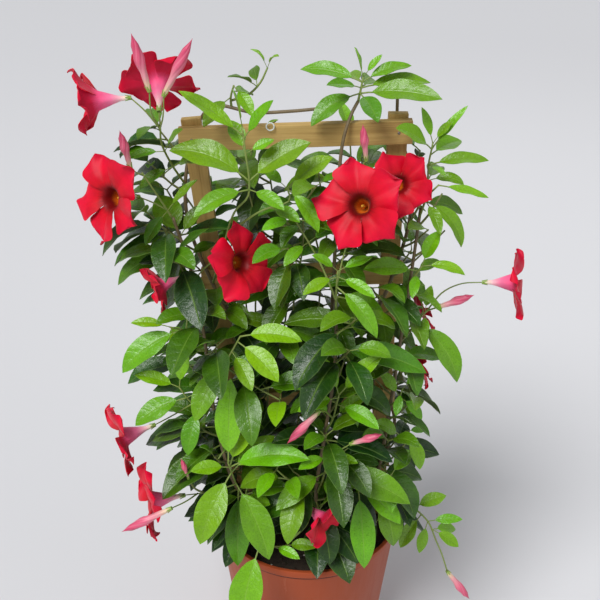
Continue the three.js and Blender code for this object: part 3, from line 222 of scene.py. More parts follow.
bm = bmesh.new()
for i in range(drain_count):
    turn = math.tau * i / drain_count
    spot = Matrix.Translation((drain_reach * math.cos(turn), drain_reach * math.sin(turn), 0))
    bmesh.ops.create_cone(
        bm, cap_ends=True, segments=24, radius1=drain_radius, radius2=drain_radius, depth=4 * pot_floor,
        matrix=spot,
    )
drill = mesh_object("drill", bm)
drilled = pot_shell.modifiers.new("drain holes", "BOOLEAN")
drilled.operation = "DIFFERENCE"
drilled.solver = "EXACT"
drilled.object = drill
seen = bpy.context.evaluated_depsgraph_get()
pot_mesh = bpy.data.meshes.new_from_object(pot_shell.evaluated_get(seen))
pot_shell.modifiers.clear()
pot_shell.data = pot_mesh
bpy.data.objects.remove(drill)
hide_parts("pot")

# Potting mix
# Dark moist mix filling the pot to a little below its rim, its top loose and uneven, with crumbs of
# bark and a few pale grains of perlite lying on it.
soil_top = 218 * mm
soil_foot = pot_floor + 0.3 * mm
soil_play = 1 * mm
soil_heap = 2.5 * mm
soil_rings, soil_steps = 34, 96
crumb_count = 420
grain_count = 46
soil_seed = 11
soil_random = random.Random(soil_seed)
noise.seed_set(soil_seed)


def soil_surface(x, y):
    """The height of the mix's loose top."""
    r = math.hypot(x, y) / rim_radius
    lumps = noise.noise(Vector((x, y, 0)) * 45) * 2.4 * mm + noise.noise(Vector((x, y, 1)) * 150) * 1.2 * mm
    return soil_top + soil_heap * (1 - r * r) + lumps


def soil_finish():
    finish, tree, shader = new_finish("potting mix")
    place = own_place(tree)
    patches = noise_of(tree, place, 130, 6, 0.7)
    shade = blended(tree, patches, colour(0.008, 0.006, 0.005), colour(0.07, 0.045, 0.028))
    paint(tree, shader, shade, 0.9)
    roughen(tree, shader, noise_of(tree, place, 420, 6, 0.75), 0.9, 1.2 * mm)
    return finish


def speckled(name, scale, detail, low, high, roughness, metal=0):
    """A plain finish, its colour wandering between two."""
    finish, tree, shader = new_finish(name)
    paint(tree, shader, blended(tree, noise_of(tree, own_place(tree), scale, detail), low, high), roughness)
    shader.inputs["Metallic"].default_value = metal
    return finish


soil_radius = wall_radius(soil_top) - pot_wall - soil_play
soil_reach = soil_radius - 4 * mm
soil_profile = [(0, soil_foot), (base_radius - pot_wall - soil_play, soil_foot)]
soil_profile += [(soil_radius * (1 - i / soil_rings), soil_top) for i in range(soil_rings + 1)]
bm = turned(soil_profile, soil_steps)
for vert in bm.verts:
    if vert.co.z > soil_top - mm:
        vert.co.z = soil_surface(vert.co.x, vert.co.y)
potting_mix = piece_of("potting_mix", bm, [soil_finish()])
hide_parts("soil")


def scattered(count, smallest, largest):
    """Rough lumps lying on the mix, each half sunk in it."""
    bm = bmesh.new()
    for _ in range(count):
        turn = soil_random.uniform(0, math.tau)
        r = soil_reach * math.sqrt(soil_random.random())
        x, y = r * math.cos(turn), r * math.sin(turn)
        size = soil_random.uniform(smallest, largest)
        place = Matrix.Translation((x, y, soil_surface(x, y) + size * 0.2))
        place @= Matrix.Rotation(soil_random.uniform(0, math.tau), 4, (0.3, 0.5, 0.8))
        place @= Matrix.Diagonal((size, size * soil_random.uniform(0.6, 1), size * 0.6, 1))
        lump = bmesh.ops.create_icosphere(bm, subdivisions=1, radius=1, matrix=place)["verts"]
        for vert in lump:
            vert.co += Vector(noise.noise_vector(vert.co * 600)) * size * 0.25
    return bm


perlite = speckled("perlite", 900, 4, colour(0.5, 0.46, 0.38), colour(0.85, 0.82, 0.76), 0.85)
crumbs = scattered(crumb_count, 1.1 * mm, 3.2 * mm)
piece_of("bark_crumbs", crumbs, [soil_finish()], smooth=False)
grains = scattered(grain_count, 0.8 * mm, 1.8 * mm)
piece_of("perlite_grains", grains, [perlite], smooth=False)

# Trellis
# A small ladder of plain sawn softwood: two posts standing in the mix, leaning slightly, with four
# rails nailed across their front faces, and a small plastic ring clipped to the top rail.
post_foot, post_top = 120, 783
post_width, post_depth = 22, 10
rail_width, rail_depth = 26, 11
slat_gap = 0.3
slat_edge = 0.8
posts = {
    "left": ((-69.3, post_foot), (-129, post_top)),
    "right": ((94.9, post_foot), (97, post_top + 6)),
}
rails = {
    "top": ((-142, 762.5), (112, 771.5)),
    "upper": ((-126, 591.5), (111, 599.5)),
    "lower": ((-111, 415), (110, 422)),
    "bottom": ((-102, 317), (108, 324.5)),
}
slat_cuts = 18
nail_radius = 1.7
nail_proud = 0.5
clip_middle = Vector((-42, -13.6, 779))
clip_radius, clip_thick = 4.2, 0.8
clip_steps, wire_steps = 28, 8


def stepped_colour(tree, factor, stops):
    """A colour ramp of (position, colour) stops, lowest first."""
    ramp = add_node(tree, "ShaderNodeValToRGB", {"Fac": factor})
    ramp.color_ramp.elements[0].position, ramp.color_ramp.elements[0].color = stops[0]
    ramp.color_ramp.elements[1].position, ramp.color_ramp.elements[1].color = stops[-1]
    for position, shade in stops[1:-1]:
        ramp.color_ramp.elements.new(position).color = shade
    return ramp.outputs[0]


def wood_finish(name, turn, start):
    """Sawn softwood with its grain along the slat, which is turned by that angle about Y."""
    finish, tree, shader = new_finish(name)
    across = add_node(
        tree, "ShaderNodeMapping",
        {"Vector": own_place(tree), "Rotation": (0, turn, 0), "Location": (start, start * 3, start * 7)},
    ).outputs[0]
    broad = noise_of(tree, stretched(tree, across, 7, 160, 160), 1, 4, 0.6)
    fine = noise_of(tree, stretched(tree, across, 22, 900, 900), 1, 3, 0.7)
    stain = reckon(tree, "MULTIPLY", noise_of(tree, across, 14, 3), 0.45)
    rings = reckon(tree, "MULTIPLY_ADD", fine, 0.45, reckon(tree, "MULTIPLY", broad, 0.75))
    shade = stepped_colour(tree, rings, [
        (0.36, colour(0.26, 0.145, 0.036)), (0.55, colour(0.5, 0.33, 0.1)), (0.8, colour(0.68, 0.48, 0.17)),
    ])
    paint(tree, shader, blended(tree, stain, shade, colour(0.37, 0.21, 0.06)), 0.72)
    roughen(tree, shader, rings, 0.55, 0.5 * mm)
    return finish


def slat(start, end, width, back, depth):
    """A sawn slat between two points [x, z] of its middle line, its faces square to Y."""
    lie = Vector((end[0] - start[0], 0, end[1] - start[1]))
    turn = -math.atan2(lie.z, lie.x)
    middle = Vector(((start[0] + end[0]) / 2, back - depth / 2, (start[1] + end[1]) / 2))
    bm = bmesh.new()
    bmesh.ops.create_cube(bm, size=1, matrix=Matrix.Diagonal((lie.length, depth, width, 1)))
    bmesh.ops.bevel(
        bm, geom=bm.edges[:], offset=slat_edge, segments=2, profile=0.5, affect="EDGES", material=-1
    )
    lengthwise = [e for e in bm.edges if abs(e.verts[0].co.x - e.verts[1].co.x) > lie.length / 2]
    bmesh.ops.subdivide_edges(bm, edges=lengthwise, cuts=slat_cuts, use_grid_fill=True)
    for vert in bm.verts:
        wander = noise.noise(Vector((vert.co.x * 0.02, vert.co.y * 0.2, width + vert.co.z * 0.1)))
        vert.co.z += 0.35 * wander
    place = Matrix.Scale(mm, 4) @ Matrix.Translation(middle) @ Matrix.Rotation(turn, 4, "Y")
    bmesh.ops.transform(bm, matrix=place, verts=bm.verts)
    return bm, turn


for index, (name, (start, end)) in enumerate(posts.items()):
    bm, turn = slat(start, end, post_width, post_depth, post_depth)
    finish = wood_finish(f"post wood {name}", -turn, 0.31 + index)
    post = piece_of(f"sawn_post_{name}", bm, [finish], smooth=False)
    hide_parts(f"trellis_post_{name}")
for index, (name, (start, end)) in enumerate(rails.items()):
    bm, turn = slat(start, end, rail_width, -slat_gap, rail_depth)
    finish = wood_finish(f"rail wood {name}", -turn, 2.7 + index)
    rail = piece_of(f"sawn_rail_{name}", bm, [finish], smooth=False)
    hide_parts(f"trellis_rail_{name}")


def at_height(line, z):
    """The x of a post's middle line at that height."""
    (x0, z0), (x1, z1) = line
    return x0 + (x1 - x0) * (z - z0) / (z1 - z0)


bm = bmesh.new()
for post_line in posts.values():
    for (x0, z0), (x1, z1) in rails.values():
        level = (z0 + z1) / 2
        x = at_height(post_line, level)
        z = z0 + (z1 - z0) * (x - x0) / (x1 - x0)
        place = Matrix.Scale(mm, 4) @ Matrix.Translation((x, -slat_gap - rail_depth - nail_proud / 2, z))
        place @= Matrix.Rotation(math.pi / 2, 4, "X")
        bmesh.ops.create_cone(
            bm, cap_ends=True, segments=16, radius1=nail_radius * 0.8, radius2=nail_radius, depth=nail_proud,
            matrix=place @ Matrix.Rotation(math.pi, 4, "X"),
        )
steel = speckled("nail steel", 1500, 3, colour(0.16, 0.13, 0.11), colour(0.4, 0.38, 0.36), 0.5, metal=0.8)
piece_of("nail_heads", bm, [steel])

bm = bmesh.new()
wire = Matrix.Translation((clip_middle + Vector((clip_radius, 0, 0))) * mm)
bmesh.ops.create_circle(bm, segments=wire_steps, radius=clip_thick * mm, matrix=wire)
bmesh.ops.spin(
    bm, geom=bm.verts[:] + bm.edges[:], cent=clip_middle * mm, axis=(0, 1, 0), angle=math.tau,
    steps=clip_steps, use_merge=True,
)
bmesh.ops.recalc_face_normals(bm, faces=bm.faces)
clear_plastic = speckled("clip plastic", 400, 2, colour(0.6, 0.64, 0.6), colour(0.8, 0.83, 0.8), 0.25)
piece_of("rail_clip", bm, [clear_plastic])

# Blooms
# Red trumpets: a narrow pale tube that widens to a throat, and five broad petals turned like a
# pinwheel, each with one edge lifted over the next. A yellow cone of anthers stands deep inside.
tube_length, mouth_radius = 42, 12.5
lobe_length, lobe_half = 38, 23
lobe_count, lobe_step = 5, 72
petal_thick = 0.6
tube_foot = 0.5
petal_across, petal_rows, tube_rows = 14, 16, 12
mouth_smoothings = 4
grid_end = 0.001
petal_wave, petal_ripple, petal_gutter = 3.4, 0.9, 2.2
petal_point, petal_round = 4, 4
anther_foot, anther_long, anther_radius = 21, 11, 2.3
funnel = [(0, 2.4), (9, 2.6), (15, 3.5), (24, 6.4), (33, 9.8), (tube_length, mouth_radius)]
blooms = {
    "bloom_left_top": dict(at=(-180, -62, 825), face=(-0.98, -0.12, -0.05), spin=10, grow=0.76, forward=40),
    "bloom_top_back": dict(at=(-152, -64, 812), face=(-0.06, 0.82, 0.55), spin=54, grow=0.82, forward=8),
    "bloom_left_high": dict(at=(-186, -38, 708), face=(-0.58, -0.72, 0.26), spin=50, grow=0.94, forward=6),
    "bloom_left": dict(at=(-140, -58, 622), face=(-0.86, -0.4, -0.25), spin=0, grow=0.6, forward=28),
    "bloom_face": dict(at=(-98, -58, 638), face=(0.68, -0.65, 0.33), spin=6, grow=0.86, forward=6),
    "bloom_centre": dict(at=(64, -50, 699), face=(-0.3, -0.83, 0.47), spin=34, grow=0.94, forward=4),
    "bloom_behind": dict(at=(94, -9, 706), face=(0.12, -0.85, 0.5), spin=40, grow=0.74, forward=12),
    "bloom_right": dict(at=(204, -18, 592), face=(0.97, -0.2, 0.1), spin=15, grow=0.82, forward=12),
    "bloom_right_hidden": dict(at=(118, 20, 520), face=(0.75, 0.2, 0.3), spin=0, grow=0.55, forward=12),
    "bloom_right_low": dict(at=(120, 22, 440), face=(0.78, 0.1, 0.2), spin=30, grow=0.6, forward=10),
    "bloom_left_low": dict(at=(-186, -70, 424), face=(-0.9, -0.38, -0.16), spin=5, grow=0.9, forward=14),
    "bloom_left_rim": dict(at=(-150, -112, 350), face=(-0.93, -0.3, 0.04), spin=36, grow=0.92, forward=14),
    "bloom_front": dict(at=(-6, -112, 338), face=(0.68, -0.58, -0.25), spin=25, grow=0.7, forward=24),
}


def chance(seed, use):
    """A repeatable number from 0 to 1 for a seed and the use it is put to."""
    wave = math.sin(seed * 12.9898 + use * 78.233) * 43758.5453
    return wave - math.floor(wave)


def sway(seed, use, spread):
    """A repeatable amount to one side or the other, over that spread."""
    return (chance(seed, use) - 0.5) * spread


def varied(seed, use, least, more):
    """A repeatable amount: the least, and what chance adds."""
    return least + more * chance(seed, use)


def around(across, aside, turn):
    """The way that lies at that angle from the first of two ways, towards the second."""
    return across * math.cos(turn) + aside * math.sin(turn)


def bloom_frame(bloom):
    face = Vector(bloom["face"]).normalized()
    level = Vector((1, 0, 0)) if abs(face.z) > 0.9 else Vector((0, 0, 1))
    right = level.cross(face).normalized()
    return face, right, face.cross(right)


def lobe_frame(bloom, lobe):
    _, right, up = bloom_frame(bloom)
    turn = math.radians(bloom["spin"] + lobe_step * lobe)
    return around(right, up, turn), around(up, -right, turn)


def lobe_point(bloom, lobe, t, s, ruffled=False):
    """A point of a petal's middle surface, t from the mouth to its far edge and s from -1 to 1 across.
    Ruffled, it has the real petal's wavy edge, rounded end and off-centre point."""
    face = Vector(bloom["face"]).normalized()
    out, side = lobe_frame(bloom, lobe)
    forward = math.radians(bloom["forward"])
    opened = lobe_length * t * math.cos(forward)
    spread = mouth_radius * math.sin(math.radians(lobe_step / 2)) + 0.68 * opened
    half = min(spread, lobe_half, 0.72 * (mouth_radius + opened)) * (1 - 0.35 * t**5)
    reach = mouth_radius * math.cos(math.radians(lobe_step / 2 * s)) + opened * (1 + 0.08 * s)
    curl = 7 * math.sin(math.pi * t * 0.55) - (5 + 10 * chance(bloom["spin"], lobe)) * t * t
    lift = curl + 5 * s * min(1, 2.5 * t) + lobe_length * t * math.sin(forward)
    if ruffled:
        end = max(0, (t - 0.7) / 0.3)
        phase = math.tau * chance(bloom["spin"], lobe + 7)
        half *= (1 + 0.14 * min(1, 8 * t)) * math.sqrt(1 - 0.78 * end * end)
        reach += end * (petal_point * max(0, 1 - abs(s - 0.45) / 0.5) - petal_round * s * s)
        waves = petal_wave * math.sin(3.8 * s + phase) + petal_ripple * math.sin(9 * s + 2 * phase)
        lift += t * t * waves
        lift -= petal_gutter * math.sin(math.pi * min(1, t)) * max(0, 1 - 3 * abs(s))
    off_foot = face * (tube_length + lift) + out * reach + side * (s * half)
    return Vector(bloom["at"]) + off_foot * bloom["grow"]


def tube_radius(z):
    """The funnel's radius at that height above its foot, read between its given rings."""
    for (z0, r0), (z1, r1) in zip(funnel, funnel[1:]):
        if z <= z1:
            return r0 + (r1 - r0) * (z - z0) / (z1 - z0)
    return mouth_radius


def lay_grid(bm, across, rows, place, pattern=None):
    """A grid laid onto a surface. place(u, v) gives a point of it in millimetres, u and v from 0 to 1;
    pattern(u, v) gives the coordinates that its finish reads, or they are u and v."""
    layer = bm.loops.layers.uv.verify()
    made = bmesh.ops.create_grid(bm, x_segments=across, y_segments=rows, size=1)["verts"]
    far = max(vert.co.x for vert in made)
    spots = {vert: (0.5 + vert.co.x / far / 2, 0.5 + vert.co.y / far / 2) for vert in made}
    for face in {face for vert in made for face in vert.link_faces}:
        for loop in face.loops:
            spot = spots[loop.vert]
            loop[layer].uv = pattern(*spot) if pattern else spot
    for vert, spot in spots.items():
        vert.co = Vector(place(*spot)) * mm
    return made


def thicken(piece, thick):
    """Gives a sheet its thickness, half to each side, its other face in the next finish."""
    wall = piece.modifiers.new("thickness", "SOLIDIFY")
    wall.thickness = thick * mm
    wall.offset = 0
    wall.material_offset = 1


def crisp_rim(bm):
    for edge in bm.edges:
        if edge.is_boundary:
            edge.smooth = False


def own_pattern(tree):
    """The piece's own UV coordinates, whole and in parts."""
    pattern = add_node(tree, "ShaderNodeTexCoord", {}).outputs["UV"]
    return pattern, add_node(tree, "ShaderNodeSeparateXYZ", {0: pattern}).outputs


def petal_finish(name, stops, roughness):
    """Silky petal: colours change along it from the tube's foot, 0, by the mouth, 0.5, to its end, 1."""
    finish, tree, shader = new_finish(name)
    pattern, parts = own_pattern(tree)
    fibre = noise_of(tree, stretched(tree, pattern, 90, 5, 1), 1, 3, 0.6)
    blotch = noise_of(tree, own_place(tree), 90, 3)
    moved = reckon(tree, "MULTIPLY_ADD", reckon(tree, "SUBTRACT", fibre, 0.5), 0.12, parts[1])
    value = reckon(tree, "MULTIPLY_ADD", blotch, 0.5, 0.72)
    deeper = {"Color": stepped_colour(tree, moved, stops), "Value": value}
    paint(tree, shader, add_node(tree, "ShaderNodeHueSaturation", deeper).outputs[0], roughness)
    shader.inputs["Specular IOR Level"].default_value = 0.22
    shader.inputs["Sheen Weight"].default_value = 0.05
    shader.inputs["Sheen Roughness"].default_value = 0.4
    shader.inputs["Subsurface Weight"].default_value = 0.1
    shader.inputs["Subsurface Radius"].default_value = (2 * mm, 0.3 * mm, 0.4 * mm)
    roughen(tree, shader, fibre, 0.25, 0.4 * mm)
    return finish


petal_front = petal_finish("petal face", [
    (0, colour(0.8, 0.42, 0.02)), (0.3, colour(0.72, 0.16, 0.005)), (0.38, colour(0.16, 0.001, 0.001)),
    (0.5, colour(0.22, 0.0005, 0.003)), (0.6, colour(0.6, 0.0005, 0.012)),
    (0.8, colour(0.74, 0.0005, 0.026)), (1, colour(0.7, 0.0005, 0.034)),
], 0.5)
petal_back = petal_finish("petal back", [
    (0, colour(0.62, 0.68, 0.25)), (0.06, colour(0.9, 0.82, 0.62)), (0.16, colour(0.95, 0.5, 0.56)),
    (0.3, colour(0.95, 0.2, 0.38)), (0.48, colour(0.92, 0.09, 0.24)), (0.62, colour(0.66, 0.006, 0.05)),
    (1, colour(0.55, 0.002, 0.028)),
], 0.5)


def bloom_mesh(bloom):
    bm = bmesh.new()
    face, right, up = bloom_frame(bloom)
    start = Vector(bloom["at"])
    columns = lobe_count * petal_across

    def tube_point(u, v):
        column = round((1 - u) * columns)
        lobe, s = column // petal_across, 2 * (column % petal_across) / petal_across - 1
        if v > 1 - grid_end:
            return lobe_point(bloom, lobe % lobe_count, 0, s)
        if v < grid_end:
            return start + face * tube_foot * bloom["grow"]
        turn = math.radians(bloom["spin"] + lobe_step * lobe + lobe_step / 2 * s)
        z = tube_foot + (tube_length - tube_foot) * v
        r = tube_radius(z) * (1 + 0.05 * math.cos(lobe_count * (turn - math.radians(bloom["spin"]))) * v)
        return start + (face * z + around(right, up, turn) * r) * bloom["grow"]

    lay_grid(bm, columns, tube_rows, tube_point, lambda u, v: (u, v / 2))
    for lobe in range(lobe_count):
        lay_grid(
            bm, petal_across, petal_rows,
            lambda u, v, lobe=lobe: lobe_point(bloom, lobe, v, 1 - 2 * u, ruffled=True),
            lambda u, v, lobe=lobe: ((lobe + 1 - u) / lobe_count, 0.5 + v / 2),
        )
    bmesh.ops.remove_doubles(bm, verts=bm.verts, dist=0.02 * mm)
    mouth = start + face * (tube_length * bloom["grow"])
    near = [vert for vert in bm.verts if (vert.co / mm - mouth).length < 1.6 * mouth_radius * bloom["grow"]]
    for _ in range(mouth_smoothings):
        bmesh.ops.smooth_vert(
            bm, verts=near, factor=0.5, use_axis_x=True, use_axis_y=True, use_axis_z=True
        )
    crisp_rim(bm)
    return bm


for name, bloom in blooms.items():
    petals = piece_of(f"petals_{name}", bloom_mesh(bloom), [petal_front, petal_back])
    thicken(petals, petal_thick)
    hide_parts(name)

bm = bmesh.new()
for bloom in blooms.values():
    face, right, up = bloom_frame(bloom)
    foot = Vector(bloom["at"])

    def anther_point(u, v):
        turn = math.tau * u
        ridge = 1 + 0.18 * math.cos(lobe_count * turn)
        r = anther_radius * ridge * math.sin(math.pi * (0.12 + 0.88 * v)) ** 0.7
        if v > 1 - grid_end:
            r = 0
        off_foot = face * (anther_foot + anther_long * v) + around(right, up, turn) * r
        return foot + off_foot * bloom["grow"]

    lay_grid(bm, 20, 8, anther_point)
close_seams(bm)
pollen = speckled("anthers", 1200, 3, colour(0.62, 0.2, 0.01), colour(0.9, 0.55, 0.05), 0.7)
piece_of("anther_cones", bm, [pollen])

# Buds
# Furled petals wound round each other in a slim spindle, pink with a pale green foot.
bud_radius = 5.6
bud_turns = 0.55
bud_foot = 0.3
bud_profile = [(0, 0.42), (0.3, 0.62), (0.55, 1), (0.8, 0.72), (1, 0)]
buds = {
    "bud_top_left": dict(at=(-158, -76, 836), tip=(-171, -76, 892)),
    "bud_top": dict(at=(-144, -78, 832), tip=(-112, -80, 888)),
    "bud_left": dict(at=(-188, -55, 748), tip=(-195, -58, 790)),
    "bud_high": dict(at=(61, -32, 748), tip=(56, -32, 788)),
    "bud_right": dict(at=(150, -34, 567), tip=(192, -36, 585)),
    "bud_centre": dict(at=(12, -130, 489), tip=(-25, -140, 450)),
    "bud_centre_right": dict(at=(48, -127, 440), tip=(84, -132, 458)),
    "bud_left_rim": dict(at=(-155, -178, 389), tip=(-213, -184, 359)),
    "bud_trailing": dict(at=(186, -78, 188), tip=(220, -80, 138)),
}
small_bud = dict(at=(-142, -122, 385), tip=(-149, -120, 413))
small_bud_stalk = [(-126, -109, 351), (-136, -118, 366), small_bud["at"]]


def bud_swell(t):
    """A bud's thickness along it, eased between its given rings."""
    for (t0, r0), (t1, r1) in zip(bud_profile, bud_profile[1:]):
        if t <= t1:
            share = (t - t0) / (t1 - t0)
            ease = share * share * (3 - 2 * share) if t1 < 1 else 1 - (1 - share) ** 1.3
            return r0 + (r1 - r0) * ease
    return 0


def bud_finish():
    finish, tree, shader = new_finish("furled petals")
    pattern, parts = own_pattern(tree)
    body = stepped_colour(tree, parts[1], [
        (0, colour(0.55, 0.62, 0.2)), (0.1, colour(0.78, 0.7, 0.42)), (0.24, colour(0.82, 0.4, 0.42)),
        (0.5, colour(0.78, 0.14, 0.24)), (0.85, colour(0.62, 0.05, 0.14)), (1, colour(0.45, 0.02, 0.08)),
    ])
    folds = reckon(tree, "SINE", reckon(tree, "MULTIPLY", parts[0], math.tau * lobe_count))
    pale = reckon(tree, "MULTIPLY", reckon(tree, "GREATER_THAN", folds, 0.55), 0.3)
    fibre = noise_of(tree, stretched(tree, pattern, 60, 4, 1), 1, 3)
    shade = blended(tree, pale, body, colour(0.86, 0.34, 0.42))
    streaked = blended(tree, reckon(tree, "MULTIPLY", fibre, 0.35), shade, colour(0.6, 0.05, 0.12))
    paint(tree, shader, streaked, 0.42)
    roughen(tree, shader, fibre, 0.3, 0.3 * mm)
    return finish


furled = bud_finish()
for name, bud in (buds | {"bud_small": small_bud}).items():
    bm = bmesh.new()
    foot, tip = Vector(bud["at"]), Vector(bud["tip"])
    axis, long = (tip - foot).normalized(), (tip - foot).length
    across = axis.orthogonal().normalized()
    aside = axis.cross(across)
    thick = min(bud_radius, long * 0.12)

    def bud_point(u, v):
        turn = math.tau * (u + bud_turns * v)
        fold = (lobe_count * u) % 1
        r = thick * bud_swell(v) * (0.86 + 0.17 * fold)
        return foot + axis * (bud_foot + (long - bud_foot) * v) + around(across, aside, turn) * r

    lay_grid(bm, 30, 24, bud_point)
    bmesh.ops.remove_doubles(bm, verts=bm.verts, dist=seam_gap)
    bmesh.ops.holes_fill(bm, edges=[e for e in bm.edges if e.is_boundary])
    bmesh.ops.recalc_face_normals(bm, faces=bm.faces)
    furled_bud = piece_of(f"furled_{name}", bm, [furled])
    if name in buds:
        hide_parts(name)

# Sepals
# Five small green points round the foot of each bloom and bud.
sepal_count = 5
sepal_long, sepal_half, sepal_thick, sepal_sunk = 8, 1.7, 0.5, 1.2
bm = bmesh.new()
holders = [(bloom["at"], Vector(bloom["face"]), bloom["grow"]) for bloom in blooms.values()]
holders += [(bud["at"], Vector(bud["tip"]) - Vector(bud["at"]), 0.8) for bud in buds.values()]
holders.append((small_bud["at"], Vector(small_bud["tip"]) - Vector(small_bud["at"]), 0.6))
for at, axis, grow in holders:
    axis = axis.normalized()
    across = axis.orthogonal().normalized()
    aside = axis.cross(across)
    for i in range(sepal_count):
        turn = math.tau * i / sepal_count
        out, side = around(across, aside, turn), around(aside, -across, turn)

        def sepal_point(u, v):
            s = 2 * u - 1
            r = 2.5 + 1.7 * v**1.5 - 0.5 * s * s
            half = sepal_half * (1 - v) ** 0.7
            return Vector(at) + (axis * (sepal_long * v - sepal_sunk) + out * r + side * (s * half)) * grow

        lay_grid(bm, 4, 6, sepal_point)
bmesh.ops.remove_doubles(bm, verts=bm.verts, dist=seam_gap)
crisp_rim(bm)
sepal_green = speckled("sepals", 300, 3, colour(0.14, 0.3, 0.03), colour(0.34, 0.46, 0.09), 0.45)
sepals = piece_of("sepals", bm, [sepal_green])
thicken(sepals, sepal_thick)
sepals.modifiers["thickness"].material_offset = 0

# Foliage
# Soft green shoots and older brown twining stems. The leaves stand in opposite pairs, each crossed with
# the pair below, on short stalks: glossy, quilted between their side veins, and paler underneath.
blade_thick = 0.6
vine_radius, twig_radius, stalk_radius = 3.2, 1.7, 1.2
stalk_half = 0.7
stalk_least, stalk_share = 6, 0.1
outward_pull, outward_roll = 28, 22
middle_depth, steepest, tip_shrink = 5, 66, 0.4
single_fold, single_lift = 14, 0.45
turn_sway, rise_sway, roll_sway = 30, 20, 24
leaf_size, leaf_droop, leaf_fold, leaf_wide = (0.86, 0.28), (30, 35), (12, 10), (0.43, 0.1)
lean_back, lean_ahead, twin_facing = -0.45, 0.75, -0.25
blade_grid, inner_grid = (6, 12), (4, 8)
side_veins, vein_slant = 7, 0.13
quilt_deep, edge_wave, rib_deep = 0.17, 1.6, 0.5
usual_leaf = 70
leaf_room = 3.9
rim_room, wall_room, soil_room = 5, 9, 7
stem_room, twig_room, tight_room, petal_room, bud_room = 1.5, 2, 1, 4.6, 7
stalk_room, own_room = 2, 0.7
ball_cell, ball_pitch = 12, 5
bends = [
    (0, 0, 1), (12, 8, 1), (-12, 8, 1), (0, -20, 1), (20, -10, 1), (-20, -10, 1), (0, 25, 1),
    (28, 12, 0.9), (-28, 12, 0.9), (0, -38, 0.9), (0, 42, 0.85), (16, 25, 0.75), (-16, 25, 0.75),
    (28, 0, 0.7), (-28, 0, 0.7), (0, -30, 0.65), (0, 10, 0.55), (25, 40, 0.55), (-25, 40, 0.55),
]
placed = {}


class Route:
    """A smooth line through points, read by the share of its length from its start."""

    steps = 200
    nudge = 0.0001

    def __init__(self, points):
        self.points = [Vector(p) for p in points]
        self.reach = [0]
        before = self.at_step(0)
        for i in range(1, self.steps + 1):
            here = self.at_step(i / self.steps)
            self.reach.append(self.reach[-1] + (here - before).length)
            before = here
        self.length = self.reach[-1]

    def at_step(self, t):
        points = self.points
        last = len(points) - 1
        whole = min(int(math.floor(last * t)), last - 1)
        part = last * t - whole
        p1, p2 = points[whole], points[whole + 1]
        p0 = points[whole - 1] if whole > 0 else p1 * 2 - p2
        p3 = points[whole + 2] if whole + 2 <= last else p2 * 2 - p1
        d0, d1, d2 = ((b - a).length_squared ** 0.25 for a, b in ((p0, p1), (p1, p2), (p2, p3)))
        d1 = d1 if d1 > 1e-4 else 1
        d0 = d0 if d0 > 1e-4 else d1
        d2 = d2 if d2 > 1e-4 else d1
        m1 = ((p1 - p0) / d0 - (p2 - p0) / (d0 + d1) + (p2 - p1) / d1) * d1
        m2 = ((p2 - p1) / d1 - (p3 - p1) / (d1 + d2) + (p3 - p2) / d2) * d1
        return (
            p1 + m1 * part + (p2 * 3 - p1 * 3 - m1 * 2 - m2) * part**2
            + (p1 * 2 - p2 * 2 + m1 + m2) * part**3
        )

    def step_of(self, share):
        wanted = share * self.length
        low = min(bisect.bisect_right(self.reach, wanted), self.steps) - 1
        gap = self.reach[low + 1] - self.reach[low]
        return (low + (wanted - self.reach[low]) / gap) / self.steps

    def at(self, share):
        return self.at_step(min(1, self.step_of(share)))

    def ahead(self, share):
        t = min(1, self.step_of(share))
        return (self.at_step(min(1, t + self.nudge)) - self.at_step(max(0, t - self.nudge))).normalized()

    def spaced(self, spacing):
        count = max(2, math.ceil(self.length / spacing))
        return [self.at(i / count) for i in range(count + 1)]


def cell_of(at):
    return tuple(part // ball_cell for part in at)


def keep(samples, owner):
    """Marks balls (place, radius, whether it is the plant's own inner part) as taken."""
    for at, r, within in samples:
        placed.setdefault(cell_of(at), []).append((*at, r, within, owner))


def near_pot(at):
    """Leaves keep off the pot's wall, inside and out, and off the mix."""
    r = math.hypot(at[0], at[1])
    wall = wall_radius(at[2] * mm) / mm
    if at[2] < pot_height / mm + rim_room and abs(r - wall) < wall_room:
        return True
    return at[2] < soil_top / mm + soil_room and r < wall


def is_clear(samples, owner):
    """Whether the balls touch nothing that is marked, save where a leaf springs from its own stem."""
    for at, r, within in samples:
        if near_pot(at):
            return False
        x, y, z = at
        for cell in itertools.product(*((part - 1, part, part + 1) for part in cell_of(at))):
            for ox, oy, oz, other_r, other_within, other in placed.get(cell, ()):
                own = other == owner
                if own and within and other_within:
                    continue
                room = (r + other_r) * (own_room if own else 1)
                if (x - ox) ** 2 + (y - oy) ** 2 + (z - oz) ** 2 < room * room:
                    return False
    return True


def half_width(t):
    """Half a blade's width: elliptic, widest just before the middle, with a fine tip."""
    return max(0, math.sin(math.pi * min(1, t) ** 0.9)) ** 0.8


def leaf_frame(leaf):
    out = Vector((math.cos(leaf["turn"]), math.sin(leaf["turn"]), 0))
    flat = Vector((-math.sin(leaf["turn"]), math.cos(leaf["turn"]), 0))
    return out, flat


